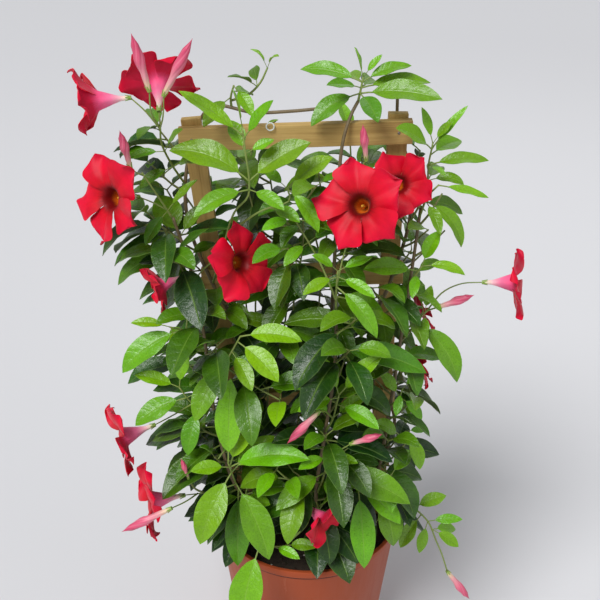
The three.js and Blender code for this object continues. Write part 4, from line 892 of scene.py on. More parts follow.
def leaf_point(leaf, t, s):
    """A point of a leaf's middle surface, t along it and s from -1 to 1 across, and the way it faces.
    The midrib bends down along its length, and the two halves fold up."""
    rise, droop, length = leaf["rise"], leaf["droop"], leaf["length"]
    bend = droop * t
    run = length * (math.sin(rise) - math.sin(rise - bend)) / droop
    climb = length * (math.cos(rise - bend) - math.cos(rise)) / droop
    out, flat = leaf_frame(leaf)
    slope = rise - bend
    up = out * -math.sin(slope) + Vector((0, 0, math.cos(slope)))
    side = flat * math.cos(leaf["roll"]) + up * math.sin(leaf["roll"])
    face = up * math.cos(leaf["roll"]) - flat * math.sin(leaf["roll"])
    middle = leaf["base"] + out * run + Vector((0, 0, climb))
    half = leaf["width"] / 2 * half_width(t)
    at = middle + side * (s * half * math.cos(leaf["fold"])) + face * (abs(s) * half * math.sin(leaf["fold"]))
    return at, (face - side * (s * math.sin(leaf["fold"]))).normalized()


def leaf_samples(leaf):
    samples = [(leaf["root"].lerp(leaf["base"], t), stalk_room, True) for t in (0.3, 0.6, 0.9)]
    for i in range(9):
        t = 0.04 + i * 0.12
        for s in (-0.85, -0.4, 0, 0.4, 0.85):
            samples.append((leaf_point(leaf, t, s)[0], leaf["room"], t < 0.1))
    return samples


def stalk_end(leaf):
    out, _ = leaf_frame(leaf)
    pointing = out * math.cos(leaf["rise"]) + Vector((0, 0, math.sin(leaf["rise"])))
    return leaf["root"] + pointing * (stalk_least + leaf["length"] * stalk_share)


def leaves_at_tips(sprig, owner):
    """The leaves that stand out one by one. Each has the share of the sprig's length at its root, its
    tip's place, its droop and roll in degrees, and its width as a share of its length."""
    leaves = []
    route = Route(sprig["route"])
    for share, x, y, z, droop, roll, wide in sprig.get("tips", ()):
        root, bend = route.at(share), math.radians(droop)
        way = Vector((x, y, z)) - root
        length = (way.length - stalk_least) / (stalk_share + math.sin(bend / 2) / (bend / 2))
        leaf = {
            "turn": math.atan2(way.y, way.x),
            "rise": math.atan2(way.z, math.hypot(way.x, way.y)) + single_lift * bend,
            "roll": math.radians(roll), "droop": bend, "fold": math.radians(single_fold),
            "length": length, "width": wide * length, "root": root,
            "share": share, "seed": x + z, "along": share, "room": leaf_room,
        }
        leaf["base"] = stalk_end(leaf)
        keep(leaf_samples(leaf), owner)
        leaves.append(leaf)
    return leaves


def leaves_of(sprig, owner, seed, leaves=()):
    """The leaves of a sprig: opposite pairs, each crossed with the pair below, smaller and steeper to
    the tip. A leaf that would touch what is already there is bent clear, or isn't grown."""
    leaves = list(leaves)
    route = Route(sprig["route"])
    pairs, length, turn = sprig["pairs"], sprig["length"], sprig["turn"]
    first, low, high = sprig.get("first", 0.35), sprig.get("low", -5), sprig.get("high", 55)
    last = sprig.get("last", 1 - stalk_half / route.length)
    for pair in range(pairs):
        share = 1 if pairs == 1 else pair / (pairs - 1)
        place = first + (last - first) * share
        at, ahead = route.at(place), route.ahead(place)
        for twin_side in (0, 1):
            number = seed + pair * 2 + twin_side
            grown = (1 - tip_shrink * share**1.5) * varied(number, 1, *leaf_size)
            outward = math.atan2(at.y - middle_depth, at.x)
            natural = math.radians(turn + 90 * pair + 180 * twin_side + sway(number, 2, turn_sway))
            lit = natural + math.radians(outward_pull) * math.sin(outward - natural)
            for more_turn, more_rise, shrink in bends:
                climb = low + (high - low) * share + sway(number, 3, rise_sway) + more_rise
                leaf = {
                    "turn": lit + math.radians(more_turn),
                    "rise": math.radians(min(steepest, climb)),
                    "roll": math.radians(sway(number, 4, roll_sway))
                    - math.radians(outward_roll) * math.sin(outward - lit),
                    "droop": math.radians(varied(number, 5, *leaf_droop)),
                    "fold": math.radians(varied(number, 6, *leaf_fold)),
                    "length": length * grown * shrink,
                    "root": at,
                    "share": place,
                    "seed": number,
                    "along": share,
                    "room": sprig.get("room", leaf_room),
                }
                leaf["width"] = leaf["length"] * varied(number, 7, *leaf_wide)
                leaf["base"] = stalk_end(leaf)
                lean = (leaf["base"] - at).normalized().dot(ahead)
                along_stem = lean < lean_back or (lean > lean_ahead and share < 1)
                twin = next((one for one in leaves if one["share"] == place), None)
                beside_twin = twin and math.cos(leaf["turn"] - twin["turn"]) > twin_facing
                if along_stem or beside_twin:
                    continue
                samples = leaf_samples(leaf)
                if samples[-1][0].x > sprig.get("right_edge", math.inf):
                    continue
                if is_clear(samples, owner):
                    keep(samples, owner)
                    leaves.append(leaf)
                    break
    return leaves


# Vines: brown stems out of the mix, wound round the posts and over the rails, with old leaves low down
vines = {
    "vine_left": dict(
        pairs=6, length=84, turn=200, first=0.08, last=0.55,
        route=[(-62, -16, 185), (-62, -16, 240), (-87, -21, 318), (-113, 2, 366), (-97, 21, 420),
               (-84, 4, 505), (-112, -21, 592), (-137, -3, 655), (-140, 6, 705), (-127, 22, 762),
               (-104, 8, 795), (-60, -2, 791), (-20, -4, 793), (12, -4, 796)]),
    "vine_right": dict(
        pairs=6, length=74, turn=320, first=0.1, last=0.8,
        route=[(79, -17, 185), (79, -17, 240), (96, -22, 325), (114, 4, 372), (98, 21, 425),
               (78, 3, 510), (96, -22, 598), (116, 3, 660), (114, 10, 720), (99, 22, 768),
               (96, 14, 802)]),
    "vine_centre": dict(
        pairs=6, length=80, turn=250, first=0.15, last=0.85,
        route=[(14, 24, 185), (14, 24, 240), (18, 20, 320), (24, 20, 425), (27, 0, 505),
               (29, -21, 592), (31, -26, 680), (36, -22, 765), (45, -13, 793), (52, -5, 804)]),
    "vine_front": dict(
        pairs=4, length=84, turn=260, first=0.2, last=0.7,
        route=[(16, -50, 185), (16, -50, 240), (10, -84, 330), (20, -92, 430), (30, -84, 520),
               (30, -74, 600)],
        tips=[(0.853, 134, -96, 515, 35, 34, 0.34), (0.853, -23, -88, 569, 25, -38, 0.42)]),
    "vine_front_left": dict(
        pairs=5, length=84, turn=220, first=0.16, last=0.68,
        route=[(-50, -40, 185), (-50, -40, 240), (-92, -78, 340), (-112, -72, 440), (-122, -52, 540),
               (-134, -40, 620), (-150, -38, 684)],
        tips=[(0.903, -223, -21, 587, 60, -40, 0.3), (0.953, -173, 14, 688, 10, -16, 0.62),
              (0.953, -115, -24, 693, 20, 33, 0.45), (0.903, -107, -13, 639, 30, 26, 0.42)]),
    "vine_front_right": dict(
        pairs=5, length=66, turn=300, first=0.16, last=0.8,
        route=[(56, -38, 185), (56, -38, 240), (86, -58, 330), (100, -52, 440), (110, -42, 540),
               (118, -34, 620), (124, -26, 690)]),
}

# Shoots: each sprig has a route, its opposite pairs of leaves with the length of the longest, and the
# tips of its single leaves. A sprig with neither is a bare stalk. A shoot starts inside its vine, or in
# the mix.
shoots = {
    "shoot_high_left": [
        dict(route=[(-112, -21, 592), (-98, -46, 640), (-80, -60, 700), (-65, -66, 720), (-63, -68, 739),
                    (-66, -70, 771), (-69, -62, 796)],
             tips=[(0.735, -149, -46, 762, 50, -32, 0.42), (0.735, 2, -58, 776, 25, 35, 0.48),
                   (0.69, -26, -99, 717, 30, 25, 0.4), (0.69, -120, -95, 707, 40, -30, 0.38),
                   (0.873, -83, -36, 793, 12, -15, 0.5), (0.873, -36, -66, 782, 12, 35, 0.5),
                   (0.996, -77, -72, 836, 15, -40, 0.36), (0.94, -36, -71, 825, 12, 40, 0.38),
                   (0.955, -133, -53, 829, 14, -36, 0.26)]),
        dict(route=[(-90, -52, 670), (-52, -58, 700), (-21, -52, 710), (-24, -54, 725)],
             tips=[(0.992, 26, -36, 752, 25, 32, 0.45), (0.59, -10, -85, 697, 35, 26, 0.45),
                   (0.992, 9, -79, 683, 40, 31, 0.36), (0.992, -51, -42, 743, 15, -31, 0.5)]),
    ],
    "shoot_rail_left": [
        dict(route=[(-84, 4, 794), (-84, -3, 808), (-80, -7, 822)],
             tips=[(0.5, -111, -37, 785, 30, -20, 0.45), (0.75, -63, 35, 798, 20, 22, 0.45),
                   (0.977, -60, -33, 795, 30, 20, 0.45)]),
        dict(pairs=2, length=30, turn=60, first=0.6, low=30, high=70,
             route=[(-85, 1, 803), (-66, -2, 810), (-52, -4, 824), (-44, -4, 840)]),
    ],
    "shoot_top": [
        dict(route=[(52, -4, 803), (54, -5, 814), (57, -3, 830)],
             tips=[(0.974, 46, -8, 862, 10, -30, 0.5), (0.974, 77, 5, 851, 14, 35, 0.36),
                   (0.8, 109, 6, 838, 35, 33, 0.33), (0.8, -10, 22, 830, 30, -31, 0.36),
                   (0.8, 40, 46, 817, 25, -13, 0.45), (0.58, 131, 13, 818, 25, 33, 0.3),
                   (0.58, 17, -31, 828, 22, -31, 0.38), (0.58, 80, 57, 803, 35, 17, 0.45),
                   (0.36, 2, -25, 781, 45, -32, 0.42), (0.36, 70, -53, 795, 30, 10, 0.5),
                   (0.36, 137, -38, 815, 25, 36, 0.36)]),
    ],
    "shoot_high_right": [
        dict(route=[(115, 3, 655), (132, -2, 700), (132, -8, 736), (133, -12, 750), (134, -14, 761)],
             tips=[(0.993, 154, -10, 784, 14, 40, 0.42), (0.993, 120, -6, 798, 10, -40, 0.33),
                   (0.93, 172, 3, 797, 12, 35, 0.2), (0.93, 90, -36, 784, 25, -40, 0.5),
                   (0.86, 173, 29, 747, 30, 25, 0.45), (0.74, 199, -5, 736, 30, 34, 0.3),
                   (0.74, 146, -42, 732, 22, 0, 0.32), (0.56, 173, -12, 709, 60, 33, 0.42),
                   (0.56, 154, 48, 709, 35, 15, 0.45), (0.3, 180, 20, 660, 40, 38, 0.4)]),
        dict(route=[(130, -1, 692), (112, -12, 700), (94, -9, 706)]),
    ],
    "shoot_right_upper": [
        dict(route=[(123, -28, 680), (130, -32, 706), (140, -38, 722)],
             tips=[(0.985, 195, -40, 707, 15, 34, 0.24), (0.45, 169, -41, 646, 60, 40, 0.3),
                   (0.45, 141, -66, 674, 40, 1, 0.4)]),
        dict(route=[(115, -36, 600), (120, -48, 618), (126, -54, 632)],
             tips=[(0.981, 174, -60, 621, 50, 34, 0.32), (0.981, 145, -50, 673, 20, 40, 0.5),
                   (0.75, 60, -59, 629, 25, -34, 0.45), (0.75, 113, -85, 606, 30, -8, 0.4),
                   (0.5, 152, -17, 618, 35, 26, 0.4)]),
    ],
    "shoot_right": [
        dict(route=[(110, -42, 540), (126, -42, 552), (138, -34, 562), (150, -34, 567)],
             tips=[(0.4, 174, -70, 484, 55, 34, 0.36), (0.7, 143, -27, 593, 15, 29, 0.5),
                   (0.7, 133, -65, 542, 30, -3, 0.42)]),
        dict(route=[(138, -34, 562), (158, -20, 580), (180, -14, 588), (204, -18, 592)]),
    ],
    "shoot_right_low": [
        dict(route=[(100, -52, 440), (108, -62, 456), (112, -66, 474)],
             tips=[(0.982, 103, -88, 450, 30, -12, 0.45), (0.982, 133, -54, 490, 20, 30, 0.4),
                   (0.65, 136, -71, 432, 30, 38, 0.45), (0.65, 82, -61, 495, 20, -40, 0.45)]),
        dict(route=[(95, -55, 390), (110, -62, 398), (120, -64, 410)],
             tips=[(0.979, 137, -78, 361, 40, 34, 0.42), (0.979, 144, -50, 398, 25, 36, 0.42),
                   (0.7, 76, -83, 435, 25, -40, 0.45)]),
    ],
    "shoot_centre": [
        dict(route=[(20, -92, 430), (28, -108, 462), (34, -114, 500)],
             tips=[(0.99, 82, -108, 549, 15, 40, 0.36), (0.99, 16, -104, 542, 15, -38, 0.36),
                   (0.93, -13, -139, 493, 25, -30, 0.42), (0.8, 78, -144, 472, 35, 27, 0.42),
                   (0.5, -10, -94, 484, 30, -32, 0.45), (0.5, 67, -88, 477, 30, 29, 0.45)]),
        dict(route=[(28, -108, 462), (18, -122, 482), (12, -130, 489)]),
    ],
    "shoot_centre_low": [
        dict(route=[(12, -84, 330), (18, -106, 372), (25, -118, 422)],
             tips=[(0.992, 28, -154, 407, 20, 2, 0.42), (0.9, 57, -136, 418, 20, 31, 0.42),
                   (0.9, -12, -140, 412, 25, -29, 0.45), (0.6, 121, -134, 354, 38, 33, 0.38),
                   (0.6, -38, -148, 357, 30, -27, 0.42)]),
        dict(route=[(24, -115, 408), (36, -124, 428), (48, -127, 440)]),
        dict(pairs=3, length=76, turn=250, low=-20, high=20,
             route=[(16, -98, 358), (-20, -116, 376), (-38, -124, 400)]),
    ],
    "shoot_centre_high": [
        dict(route=[(30, -76, 588), (30, -82, 622), (31, -85, 642)],
             tips=[(0.987, 68, -79, 654, 20, 34, 0.38), (0.987, 2, -91, 663, 20, -40, 0.42),
                   (0.85, 70, -110, 621, 25, 28, 0.36), (0.85, -7, -106, 622, 28, -28, 0.4),
                   (0.6, 73, -116, 574, 40, 27, 0.34), (0.35, 86, -59, 568, 30, 40, 0.42)]),
        dict(route=[(30, -80, 602), (12, -62, 640), (-16, -56, 690)],
             tips=[(0.993, 29, -71, 681, 25, 30, 0.32), (0.993, -51, -74, 683, 30, -30, 0.45),
                   (0.7, -27, -84, 645, 30, -23, 0.45), (0.7, 34, -38, 673, 25, 29, 0.45)]),
        dict(route=[(30, -82, 622), (40, -66, 660), (52, -54, 682), (64, -50, 699)]),
    ],
    "shoot_left_high": [
        dict(route=[(-150, -38, 682), (-164, -44, 712), (-178, -48, 740)],
             tips=[(0.18, -120, -36, 727, 20, 40, 0.24), (0.18, -177, -68, 663, 30, -20, 0.42)]),
        dict(route=[(-156, -40, 694), (-172, -38, 702), (-186, -38, 708)]),
        dict(route=[(-176, -47, 736), (-184, -52, 742), (-188, -55, 748)]),
    ],
    "shoot_left_top": [
        dict(route=[(-140, 6, 705), (-150, -14, 735), (-156, -38, 768), (-152, -64, 796)],
             tips=[(0.3, -103, -47, 754, 30, 33, 0.42), (0.3, -187, -19, 708, 30, -37, 0.4),
                   (0.55, -131, -45, 786, 25, 40, 0.42), (0.55, -196, -25, 746, 25, -35, 0.36)]),
        dict(route=[(-153, -60, 792), (-166, -64, 812), (-180, -62, 825)]),
        dict(route=[(-152, -63, 795), (-152, -64, 812)]),
        dict(route=[(-153, -62, 795), (-158, -76, 814), (-158, -76, 836)]),
        dict(route=[(-152, -62, 795), (-146, -78, 812), (-144, -78, 832)]),
    ],
    "shoot_left": [
        dict(route=[(-123, -51, 540), (-140, -68, 556), (-156, -80, 568)],
             tips=[(0.986, -200, -80, 572, 28, -34, 0.36), (0.986, -142, -114, 546, 30, 11, 0.45),
                   (0.66, -212, -93, 513, 42, -34, 0.42)]),
        dict(route=[(-140, -68, 556), (-136, -60, 588), (-132, -54, 614), (-140, -58, 622)]),
        dict(route=[(-136, -60, 590), (-128, -48, 612), (-112, -42, 628), (-98, -58, 638)]),
    ],
    "shoot_left_low": [
        dict(route=[(-114, -70, 450), (-136, -84, 466), (-150, -88, 492)],
             tips=[(0.7, -202, -102, 445, 40, -34, 0.45), (0.988, -201, -86, 506, 25, -34, 0.4),
                   (0.7, -100, -90, 492, 25, 36, 0.45), (0.35, -142, -110, 409, 35, -14, 0.45),
                   (0.988, -135, -82, 544, 20, 40, 0.42)]),
        dict(route=[(-136, -84, 466), (-162, -78, 444), (-186, -70, 424)]),
    ],
    "shoot_mid_left": [
        dict(route=[(-117, -62, 490), (-94, -86, 528), (-76, -96, 566)],
             tips=[(0.992, -7, -110, 566, 38, 33, 0.4), (0.9, -34, -128, 525, 30, 27, 0.48),
                   (0.72, -63, -131, 515, 30, 16, 0.45), (0.45, -129, -119, 465, 30, -23, 0.45),
                   (0.45, -51, -87, 520, 30, 33, 0.42)]),
        dict(pairs=3, length=76, turn=280, low=-20, high=20,
             route=[(-100, -80, 518), (-58, -96, 496), (-32, -106, 486)]),
    ],
    "shoot_bright": [
        dict(route=[(-83, -70, 316), (-88, -100, 358), (-94, -122, 408)],
             tips=[(0.993, -89, -96, 510, 10, 8, 0.36), (0.9, -64, -84, 468, 15, 24, 0.45),
                   (0.9, 3, -136, 422, 50, 34, 0.34), (0.9, -138, -130, 401, 25, -33, 0.48),
                   (0.78, -128, -157, 313, 32, -23, 0.46), (0.78, -39, -87, 420, 25, 30, 0.42),
                   (0.5, -48, -147, 278, 35, 24, 0.42), (0.3, -87, -135, 256, 30, -1, 0.38)]),
        dict(route=[(-88, -100, 357), (-118, -108, 352), (-150, -112, 350)]),
        dict(route=[(-134, -110, 351), (-144, -146, 370), (-155, -178, 389)]),
    ],
    "shoot_front_right": [
        dict(route=[(80, -55, 315), (66, -86, 336), (56, -104, 362)],
             tips=[(0.75, 112, -125, 314, 35, 29, 0.42), (0.75, 69, -139, 256, 32, 6, 0.36),
                   (0.4, 133, -86, 319, 30, 33, 0.4)]),
        dict(pairs=2, length=66, turn=320, low=-25, high=20,
             route=[(71, -77, 328), (92, -92, 344), (100, -98, 368)]),
    ],
    "shoot_front": [
        dict(route=[(-20, -74, 185), (-20, -74, 240), (-30, -112, 267), (-60, -134, 288)],
             tips=[(0.995, -81, -176, 196, 40, -16, 0.46), (0.86, -10, -145, 276, 30, 29, 0.42),
                   (0.7, 12, -123, 274, 30, 34, 0.45)]),
        dict(pairs=1, length=70, turn=20, low=-20,
             route=[(-24, -96, 258), (0, -104, 300), (-6, -112, 338)]),
    ],
    "shoot_trailing": [
        dict(route=[(86, -50, 185), (87, -50, 240), (115, -68, 295), (134, -70, 292), (155, -72, 271),
                    (168, -72, 238), (177, -74, 216), (186, -78, 188)],
             tips=[(0.545, 179, -57, 300, 18, 31, 0.5), (0.603, 122, -78, 230, 18, -40, 0.42),
                   (0.658, 200, -72, 273, 20, 35, 0.38), (0.658, 145, -88, 231, 15, -26, 0.42),
                   (0.718, 196, -82, 235, 20, 32, 0.5), (0.718, 197, -50, 235, 20, 31, 0.42)]),
    ],
    "shoot_back_left": [
        dict(pairs=6, length=80, turn=100, first=0.2, low=-20,
             route=[(-42, 42, 185), (-42, 42, 240), (-62, 60, 360), (-76, 60, 480), (-84, 56, 590)]),
        dict(pairs=4, length=76, turn=60, first=0.3, low=-10,
             route=[(-84, 56, 590), (-78, 44, 660), (-66, 46, 730)]),
    ],
    "shoot_back_right": [
        dict(pairs=6, length=80, turn=80, first=0.2, low=-20,
             route=[(45, 48, 185), (45, 48, 240), (60, 66, 360), (62, 66, 480), (60, 60, 590)]),
        dict(pairs=4, length=76, turn=30, first=0.3, low=-10,
             route=[(60, 60, 590), (54, 50, 660), (48, 52, 740)]),
        dict(route=[(60, 66, 440), (92, 50, 446), (120, 22, 440)]),
        dict(route=[(62, 65, 500), (90, 48, 516), (118, 20, 520)]),
    ],
    "shoot_bud_high": [
        dict(route=[(34, -25, 724), (50, -27, 730), (61, -32, 748)]),
    ],
}

# What is already in place comes first, so that every leaf can be kept clear of all of it
def place_slat(start, end, width, depth, y):
    start, end = Vector((start[0], 0, start[1])), Vector((end[0], 0, end[1]))
    lie = (end - start).normalized()
    steps = math.ceil((end - start).length / 8)
    samples = []
    for i in range(steps + 1):
        for s in (-0.4, 0, 0.4):
            at = start.lerp(end, i / steps) + Vector((lie.z, 0, -lie.x)) * (s * width)
            samples.append((Vector((at.x, y, at.z)), depth / 2 + stem_room, False))
    keep(samples, "trellis")


for start, end in posts.values():
    place_slat(start, end, post_width, post_depth, post_depth / 2)
for start, end in rails.values():
    place_slat(start, end, rail_width, rail_depth, -rail_depth / 2)
for name, vine in vines.items():
    keep([(at, vine_radius + stem_room, True) for at in Route(vine["route"]).spaced(ball_pitch)], name)
for name, sprigs in shoots.items():
    for sprig in sprigs:
        keep([(at, twig_radius + twig_room, True) for at in Route(sprig["route"]).spaced(ball_pitch)], name)
for name, bloom in blooms.items():
    face = Vector(bloom["face"]).normalized()
    samples = []
    for i in range(6):
        samples.append((Vector(bloom["at"]) + face * ((4 + 8 * i) * bloom["grow"]), 4 if i < 3 else 9, False))
    for lobe in range(lobe_count):
        for t in (0.15, 0.4, 0.65, 0.9):
            for s in (-0.85, -0.3, 0.3, 0.85):
                samples.append((lobe_point(bloom, lobe, t, s), petal_room, False))
    keep(samples, name)
for name, bud in buds.items():
    foot, tip = Vector(bud["at"]), Vector(bud["tip"])
    keep([(foot.lerp(tip, t), bud_room, False) for t in (0.1, 0.3, 0.5, 0.7, 0.9)], name)

leaves = {}
singles = {name: [leaves_at_tips(sprig, name) for sprig in sprigs] for name, sprigs in shoots.items()}
singles |= {name: [leaves_at_tips(vine, name)] for name, vine in vines.items()}
seed = 1
for name, sprigs in shoots.items():
    leaves[name] = []
    for sprig, single in zip(sprigs, singles[name]):
        leaves[name] += leaves_of(sprig, name, seed, single) if "pairs" in sprig else single
        seed += 2 * sprig.get("pairs", 0) + 1
for name, vine in vines.items():
    leaves[name] = leaves_of({"low": -12, "high": 12} | vine, name, seed, singles[name][0])
    seed += 2 * vine["pairs"] + 1

# Older leaves fill the inside of the plant: more pairs along the stems, then short twigs off the vines. Their
# dark colour is partly their age and partly painted shade for the plant's shaded inside.
# They need less room than the outer ones, and are kept clear of them in the same way. Seven more stems
# that carry nothing else fill the widest spaces.
inner_pitch, twig_pitch, twig_long = 21, 36, 46
inner_top = 735
inner_seed, seed_stride = 5000, 200
filler_last = 0.98
twig_turns, twig_sway = (0, 50, -50, 110, -110, 180), 40
twig_bends = ((0.3, 0.22), (0.72, 0.7))
twig_after, twig_last = 0.03, 0.97
inner_growth = dict(room=2.7, right_edge=135)
fillers = {
    "behind_left": dict(turn=20, first=0.1, route=[
        (-34, 30, 200), (-42, 26, 330), (-30, 24, 450), (-46, 26, 560), (-40, 24, 660), (-48, 26, 732)]),
    "behind_right": dict(turn=70, first=0.1, route=[
        (52, 30, 200), (60, 26, 340), (58, 26, 460), (62, 28, 580), (64, 26, 690), (60, 26, 730)]),
    "middle": dict(turn=45, first=0.3, route=[
        (-12, -24, 200), (-20, -30, 330), (-8, -32, 450), (-18, -34, 560), (-6, -30, 660), (-14, -26, 728)]),
    "middle_left": dict(turn=10, first=0.3, route=[
        (-44, -22, 200), (-56, -34, 330), (-50, -36, 450), (-62, -36, 560), (-56, -30, 650),
        (-70, -24, 726)]),
    "middle_right": dict(turn=30, first=0.35, route=[
        (22, -22, 200), (14, -26, 330), (22, -28, 450), (12, -30, 560), (20, -28, 650), (10, -24, 732)]),
    "far_right": dict(turn=0, first=0.4, route=[
        (88, 24, 200), (96, 28, 330), (94, 28, 450), (98, 28, 560), (96, 26, 660), (100, 24, 732)]),
    "far_left": dict(turn=15, first=0.2, route=[
        (-74, 26, 200), (-88, 28, 330), (-100, 28, 450), (-112, 28, 560), (-118, 26, 650), (-126, 24, 728)]),
}
inner = {}
inner_stems = {}
seed = inner_seed
for name, vine in (vines | fillers).items():
    route = Route(vine["route"])
    if name in fillers:
        keep([(at, twig_radius + tight_room, True) for at in route.spaced(ball_pitch)], name)
    first, last = vine["first"], vine.get("last", filler_last)
    grown = dict(route=vine["route"], pairs=int(route.length * (last - first) / inner_pitch), length=76,
                 turn=vine["turn"] + 45, first=first, last=last, low=-15, high=10)
    inner[name] = leaves_of(grown | inner_growth, name, seed)
    inner_stems[name] = [vine["route"]] if name in fillers else []
    if name == "vine_front_left":
        inner_stems[name].append(small_bud_stalk)
    seed += seed_stride
    for i in range(int(route.length / twig_pitch)):
        share = first + twig_after + i * twig_pitch / route.length
        if share > twig_last or route.at(share).z > inner_top:
            break
        start = route.at(share)
        for turned_by in twig_turns:
            turn = math.atan2(start.y, start.x) + math.radians(turned_by + sway(seed + i, 1, twig_sway))
            out = Vector((math.cos(turn), math.sin(turn), 0))
            sprig = [start] + [
                start + out * run * twig_long + Vector((0, 0, climb * twig_long)) for run, climb in twig_bends
            ]
            line = [(at, twig_radius + tight_room, True) for at in Route(sprig).spaced(ball_pitch)]
            if is_clear(line, name):
                keep(line, name)
                grown = dict(route=sprig, pairs=3, length=74, turn=math.degrees(turn) + 90,
                             first=0.4, low=-10, high=30)
                inner[name] += leaves_of(grown | inner_growth, name, seed + 10 * i)
                inner_stems[name].append(sprig)
                break
    seed += seed_stride


def blade_point(leaf, t, s):
    """A point of a real blade: quilted between its side veins, waved at its edge."""
    at, face = leaf_point(leaf, t, s)
    phase = math.tau * (t - vein_slant * abs(s)) * side_veins
    along = math.sin(math.pi * t)
    quilt = -math.cos(phase) * quilt_deep * (1 - abs(s) ** 4) * along
    wave = edge_wave * math.sin(math.tau * (1.7 * t + chance(leaf["seed"], 9)) + s) * abs(s) ** 3 * along
    rib = rib_deep * max(0, 1 - 4 * abs(s)) * along
    return at + face * ((quilt + wave - rib) * leaf["length"] / usual_leaf)


def mark(verts, layers, values):
    for vert in verts:
        for layer, value in zip(layers, values):
            vert[layer] = value


def stem_point(spine, u, v):
    """A point round a stem, from its spine: places, radii and two directions across at each."""
    at, r, across, aside = spine[round(v * (len(spine) - 1))]
    return at + around(across, aside, math.tau * u) * r


def spine_of(places, radii):
    spine = []
    across = None
    for i, at in enumerate(places):
        ahead = (places[min(i + 1, len(places) - 1)] - places[max(i - 1, 0)]).normalized()
        if across is None:
            across = ahead.orthogonal().normalized()
        across = (across - ahead * across.dot(ahead)).normalized()
        spine.append((at, radii[i], across, ahead.cross(across)))
    return [(spine[0][0], 0, *spine[0][2:])] + spine + [(spine[-1][0], 0, *spine[-1][2:])]


def attribute(tree, name):
    return add_node(tree, "ShaderNodeAttribute", {}, attribute_name=name).outputs["Fac"]


def leaf_finish(name, young, old, vein, roughness, relief):
    """A leaf's face: its colour by its own age, with a pale midrib and side veins."""
    finish, tree, shader = new_finish(name)
    _, parts = own_pattern(tree)
    place = own_place(tree)
    age = attribute(tree, "age")
    tint = attribute(tree, "tint")
    s = reckon(tree, "ABSOLUTE", reckon(tree, "MULTIPLY_ADD", parts[0], 2, -1))
    slanted = reckon(tree, "MULTIPLY_ADD", s, -vein_slant, parts[1])
    phase = reckon(tree, "FRACT", reckon(tree, "MULTIPLY", slanted, side_veins))
    off_vein = reckon(tree, "MULTIPLY", reckon(tree, "ABSOLUTE", reckon(tree, "SUBTRACT", phase, 0.5)), 2)
    side_line = reckon(tree, "POWER", off_vein, 30)
    rib_line = reckon(tree, "POWER", reckon(tree, "SUBTRACT", 1, reckon(tree, "MINIMUM", s, 1)), 30)
    edge_line = reckon(tree, "POWER", s, 40)
    lines = reckon(tree, "MAXIMUM", reckon(tree, "MULTIPLY", side_line, 0.22), rib_line)
    lines = reckon(tree, "MAXIMUM", lines, reckon(tree, "MULTIPLY", edge_line, 0.5))
    cloud = noise_of(tree, place, 55, 4, 0.6)
    net = noise_of(tree, place, 520, 4, 0.65)
    coarse = noise_of(tree, place, 210, 3, 0.6)
    ages = reckon(tree, "MULTIPLY_ADD", reckon(tree, "SUBTRACT", cloud, 0.5), 0.35, age)
    tinted = {
        "Color": blended(tree, ages, young, old),
        "Hue": reckon(tree, "MULTIPLY_ADD", tint, 0.03, 0.485),
        "Value": reckon(tree, "MULTIPLY_ADD", net, 0.9, 0.55),
    }
    bright = add_node(tree, "ShaderNodeHueSaturation", tinted).outputs[0]
    shade = blended(tree, reckon(tree, "MULTIPLY", lines, 0.5), bright, vein)
    paint(tree, shader, shade, reckon(tree, "MULTIPLY_ADD", net, 0.26, roughness))
    shader.inputs["Specular IOR Level"].default_value = 0.5
    quilt = reckon(tree, "SUBTRACT", 1, reckon(tree, "POWER", off_vein, 3))
    height = reckon(tree, "ADD", reckon(tree, "MULTIPLY", quilt, 0.35), reckon(tree, "MULTIPLY", net, 0.6))
    height = reckon(tree, "MULTIPLY_ADD", coarse, 1.1, height)
    height = reckon(tree, "SUBTRACT", height, reckon(tree, "MULTIPLY", rib_line, 0.8))
    roughen(tree, shader, height, relief, 0.9 * mm)
    return finish


# The face's old colour, the darkest green, is partly an old leaf's own colour and partly painted shade for
# the leaves deep inside the plant.
blade_top = leaf_finish("leaf face", colour(0.19, 0.46, 0.003), colour(0.008, 0.045, 0.003),
                        colour(0.26, 0.45, 0.06), 0.18, 0.6)
blade_under = leaf_finish("leaf underside", colour(0.22, 0.4, 0.02), colour(0.05, 0.1, 0.02),
                          colour(0.36, 0.46, 0.12), 0.5, -0.5)


def stem_finish():
    finish, tree, shader = new_finish("stems")
    place = own_place(tree)
    patches = noise_of(tree, place, 110, 4, 0.6)
    bark = blended(tree, patches, colour(0.09, 0.05, 0.03), colour(0.26, 0.17, 0.1))
    green = blended(tree, patches, colour(0.12, 0.27, 0.03), colour(0.3, 0.34, 0.08))
    paint(tree, shader, blended(tree, attribute(tree, "age"), green, bark), 0.5)
    roughen(tree, shader, noise_of(tree, place, 500, 4), 0.4, 0.4 * mm)
    return finish


stem_skin = stem_finish()

stem_sides, stalk_sides, stem_pitch = 8, 6, 6
stem_slim, stem_taper = 0.86, 0.35
stalk_radii = [1.25, 1.0, 1.0, 1.0, 0.9, 0.75, 0.6, 0.45, 0.25]
stalk_stops, rib_stops = (0, 0.35, 0.7), (0.02, 0.15, 0.35, 0.55, 0.75, 0.92)
rib_sunk, full_stalk_leaf = 0.75, 60
tip_youth, age_sway, stalk_age = 0.5, 0.25, 0.1
# The inner leaves' blades are given the oldest, darkest colour: partly their real age, partly painted shade
# for the inside of the plant.
shoot_ages, vine_ages, inner_ages_and_shade = (0.55, 0.15), (0.95, 0.9), (1, 0.4)


